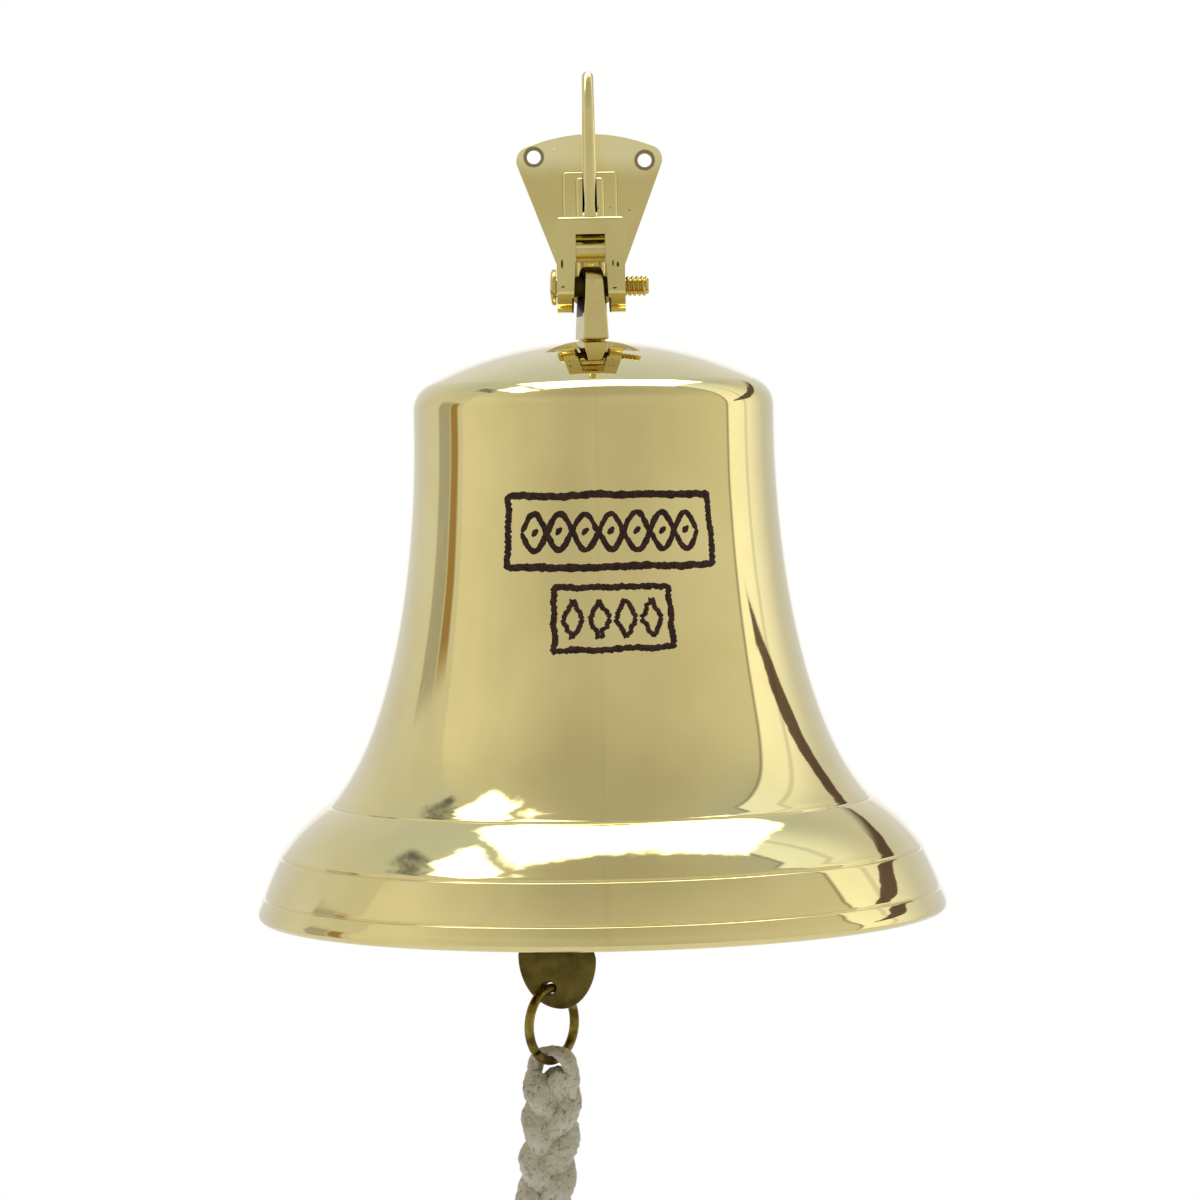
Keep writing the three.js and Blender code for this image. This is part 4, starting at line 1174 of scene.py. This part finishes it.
clapper = {
    "lean": 5.0, "pivot": -80.2, "eyeOuter": 6.6, "eyeHole": 3.6, "eyeThickness": 4.4, "eyeDrop": -1.11,
    "neck": 3.4, "shank": 5.0, "ball": 16.0, "stretch": 1.12, "ballCentre": -121.4,
    "tailTip": -158.6, "tailWidth": 23.0, "tailThickness": 2.4, "tailRound": 12.7, "skew": 1.9,
    "hole": 1.74, "holeX": -2.3, "holeZ": -152.62,
}

pullRing = {"wire": 1.4, "mean": 10.7, "turn": 38.0, "joint": 0.012, "jointAt": 0.62, "steps": 160}


def clapperProfile():                           # neck, shank and ball, from the top down
    c = clapper
    neck, shank, ball, centre = c["neck"], c["shank"], c["ball"], c["ballCentre"]
    neckTop, tall = c["eyeDrop"] - c["eyeHole"] - 0.8, c["ball"] * c["stretch"]
    top = centre + tall
    profile = [(0, neckTop)]
    profile += [(neck * math.sin(a), neckTop - 2.4 * (1 - math.cos(a)))
                for a in (math.pi / 2 * i / 6 for i in range(1, 7))]
    profile += bezier((neck, neckTop - 6), (neck + 0.4, neckTop - 40), (shank - 0.4, top + 30),
                      (shank, top + 9), 16)
    profile += bezier((shank + 0.1, top + 8), (shank + 0.6, top + 3), (shank + 0.8, top),
                      (shank + 1.8, top - 1.5), 6)[1:]
    first, last = 0.5, math.pi - 0.4
    profile += [(ball * math.sin(a), centre + tall * math.cos(a))
                for a in (first + (last - first) * i / 36 for i in range(1, 37))]
    profile += [(ball * 0.2, profile[-1][1] - 0.6), (0, profile[-1][1] - 0.8)]
    return profile


def paddleOutline():                            # a lopsided round end
    c = clapper
    half, tip, skew = c["tailWidth"] / 2, c["tailTip"], c["skew"]
    roundTop, shift, neckZ = tip + c["tailRound"], -skew * 0.65, c["ballCentre"] - c["ball"] * 0.6
    tail = [(-half * 0.5, neckZ)]
    tail += bezier((-half + shift, roundTop + 3), (-half + shift * 0.7, roundTop - 5), (-half * 0.62, tip),
                   (skew * 0.35, tip), 24)
    tail += bezier((skew * 0.35, tip), (half * 0.64, tip), (half + shift * 0.2, roundTop - 4),
                   (half + shift, roundTop + 3), 24)[1:]
    return tail + [(half * 0.5, neckZ)]


def makeClapper(material):
    c = clapper
    disc = arc((0, c["eyeDrop"]), c["eyeOuter"], 0, 360, 56)[:-1]
    eye = prism("clapper", disc, c["eyeThickness"], "front", (0, 0, 0), material)
    body = turn("body", clapperProfile(), 64, (0, 0, 0), material)
    paddle = prism("paddle", paddleOutline(), c["tailThickness"], "front", (0, 0, 0), material)
    # the hole is worn along the way that the ring's wire runs through it
    drill = turn("hole", boreProfile(c["hole"], 9), 40, (0, 0, 0), material, "y")
    turnTo(drill, (c["holeX"], 0, c["holeZ"]), -pullRing["turn"], "Z")
    combine(paddle, drill, "DIFFERENCE")
    soften(paddle, 0.55, 3)
    bore = turn("bore", boreProfile(c["eyeHole"], 9), 40, (0, 0, c["eyeDrop"]), material, "y")
    combine(eye, bore, "DIFFERENCE")
    soften(eye, 0.6, 3)
    whole = joinPieces("clapper", [eye, body, paddle])
    turnTo(whole, (0, -bracket["reach"], c["pivot"]), c["lean"], "Y")
    stand(whole, "clapper", "dull_bronze", "clapper")


def makeRing(material):
    middle, turned = centreOf("pull_ring"), Matrix.Rotation(math.radians(-pullRing["turn"]), 3, "Z")
    steps, joint = pullRing["steps"], pullRing["joint"]
    path = []
    for i in range(steps + 1):                  # open by a hair where the wire's ends meet
        t = tau * (pullRing["jointAt"] + joint / 2 + (1 - joint) * i / steps)
        flat = Vector((0, pullRing["mean"] * math.cos(t), pullRing["mean"] * math.sin(t)))
        flat.rotate(turned)
        path.append(middle + flat)

    def section(i, angle):
        end = min(i, steps - i)
        radius = pullRing["wire"] * (0.86 if end == 0 else 1)
        return radius * math.cos(angle), radius * math.sin(angle)
    ring = sweep("pullRing", path, section, 28, material, across=Vector((1, 0, 0)))
    stand(ring, "ring", "ring_brass", "pull_ring")


# --- putting it together

def main():
    rope = cotton()
    makeLanyard(rope)
    print("lanyard made")
    makeWorld()
    makeStage()
    bellBrass = brass("bell brass", colour(234, 217, 148), colour(226, 208, 138), 0.04, 0.07,
                      turnedLines=0.0016, lacquer=0.5)
    light, dark = colour(231, 215, 146), colour(215, 197, 126)
    castBrass = brass("cast brass", light, dark, 0.085, 0.14, pits=0.25)
    # the plate's brass carries a painted highlight on its top and painted shade round its screw holes
    plateBrass = brass("plate brass", light, dark, 0.085, 0.16, pits=0.25, crest=13.0,
                       shadedSeats=[(x, z, bracket["seat"]) for x, z in bracket["holes"]])
    slotLow, slotHigh = -34.0, -18.6            # the height of the painted shade inside the fork
    forkBrass = brass("fork brass", light, colour(213, 196, 126), 0.09, 0.14, pits=0.25,
                      slotShade=(5.6, -126.6, slotLow, slotHigh),
                      pores=[(-8.4, -18.9, 0.35, 1.3), (-8.2, -25.6, 0.5, 0.25), (6.5, -18.9, 0.25, 0.9),
                             (7.9, -19.3, 0.4, 0.8), (6.9, -26.1, 0.6, 0.25)])
    stemBrass = brass("stem brass", light, dark, 0.085, 0.14, pits=0.25,
                      slotShade=(5.6, -124.3, slotLow, slotHigh))
    screwBrass = brass("screw brass", colour(214, 192, 110), colour(186, 160, 80), 0.15, 0.05, lacquer=0.0,
                       slotShade=(4.9, -130.0, slotLow, slotHigh))
    steel = platedSteel()
    outside, place = makeBell(bellBrass)
    makePaint(outside, place, framePaint())
    print("bell made")
    makePlate(plateBrass)
    makeArm(castBrass)
    makeFork(forkBrass)
    makeBolt(screwBrass)
    makeStem(stemBrass)
    print("bracket made")
    makeClapper(dullBronze())
    makeRing(agedWire())
    print("clapper and ring made")
    # what is out of sight keeps the frame's own shape
    for name in ("crown_washer", "crown_nut", "clapper_swivel", "arm_screw_upper", "arm_screw_lower"):
        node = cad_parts[name]
        node.data.materials.clear()
        node.data.materials.append(steel)
    print("fittings coloured")


main()
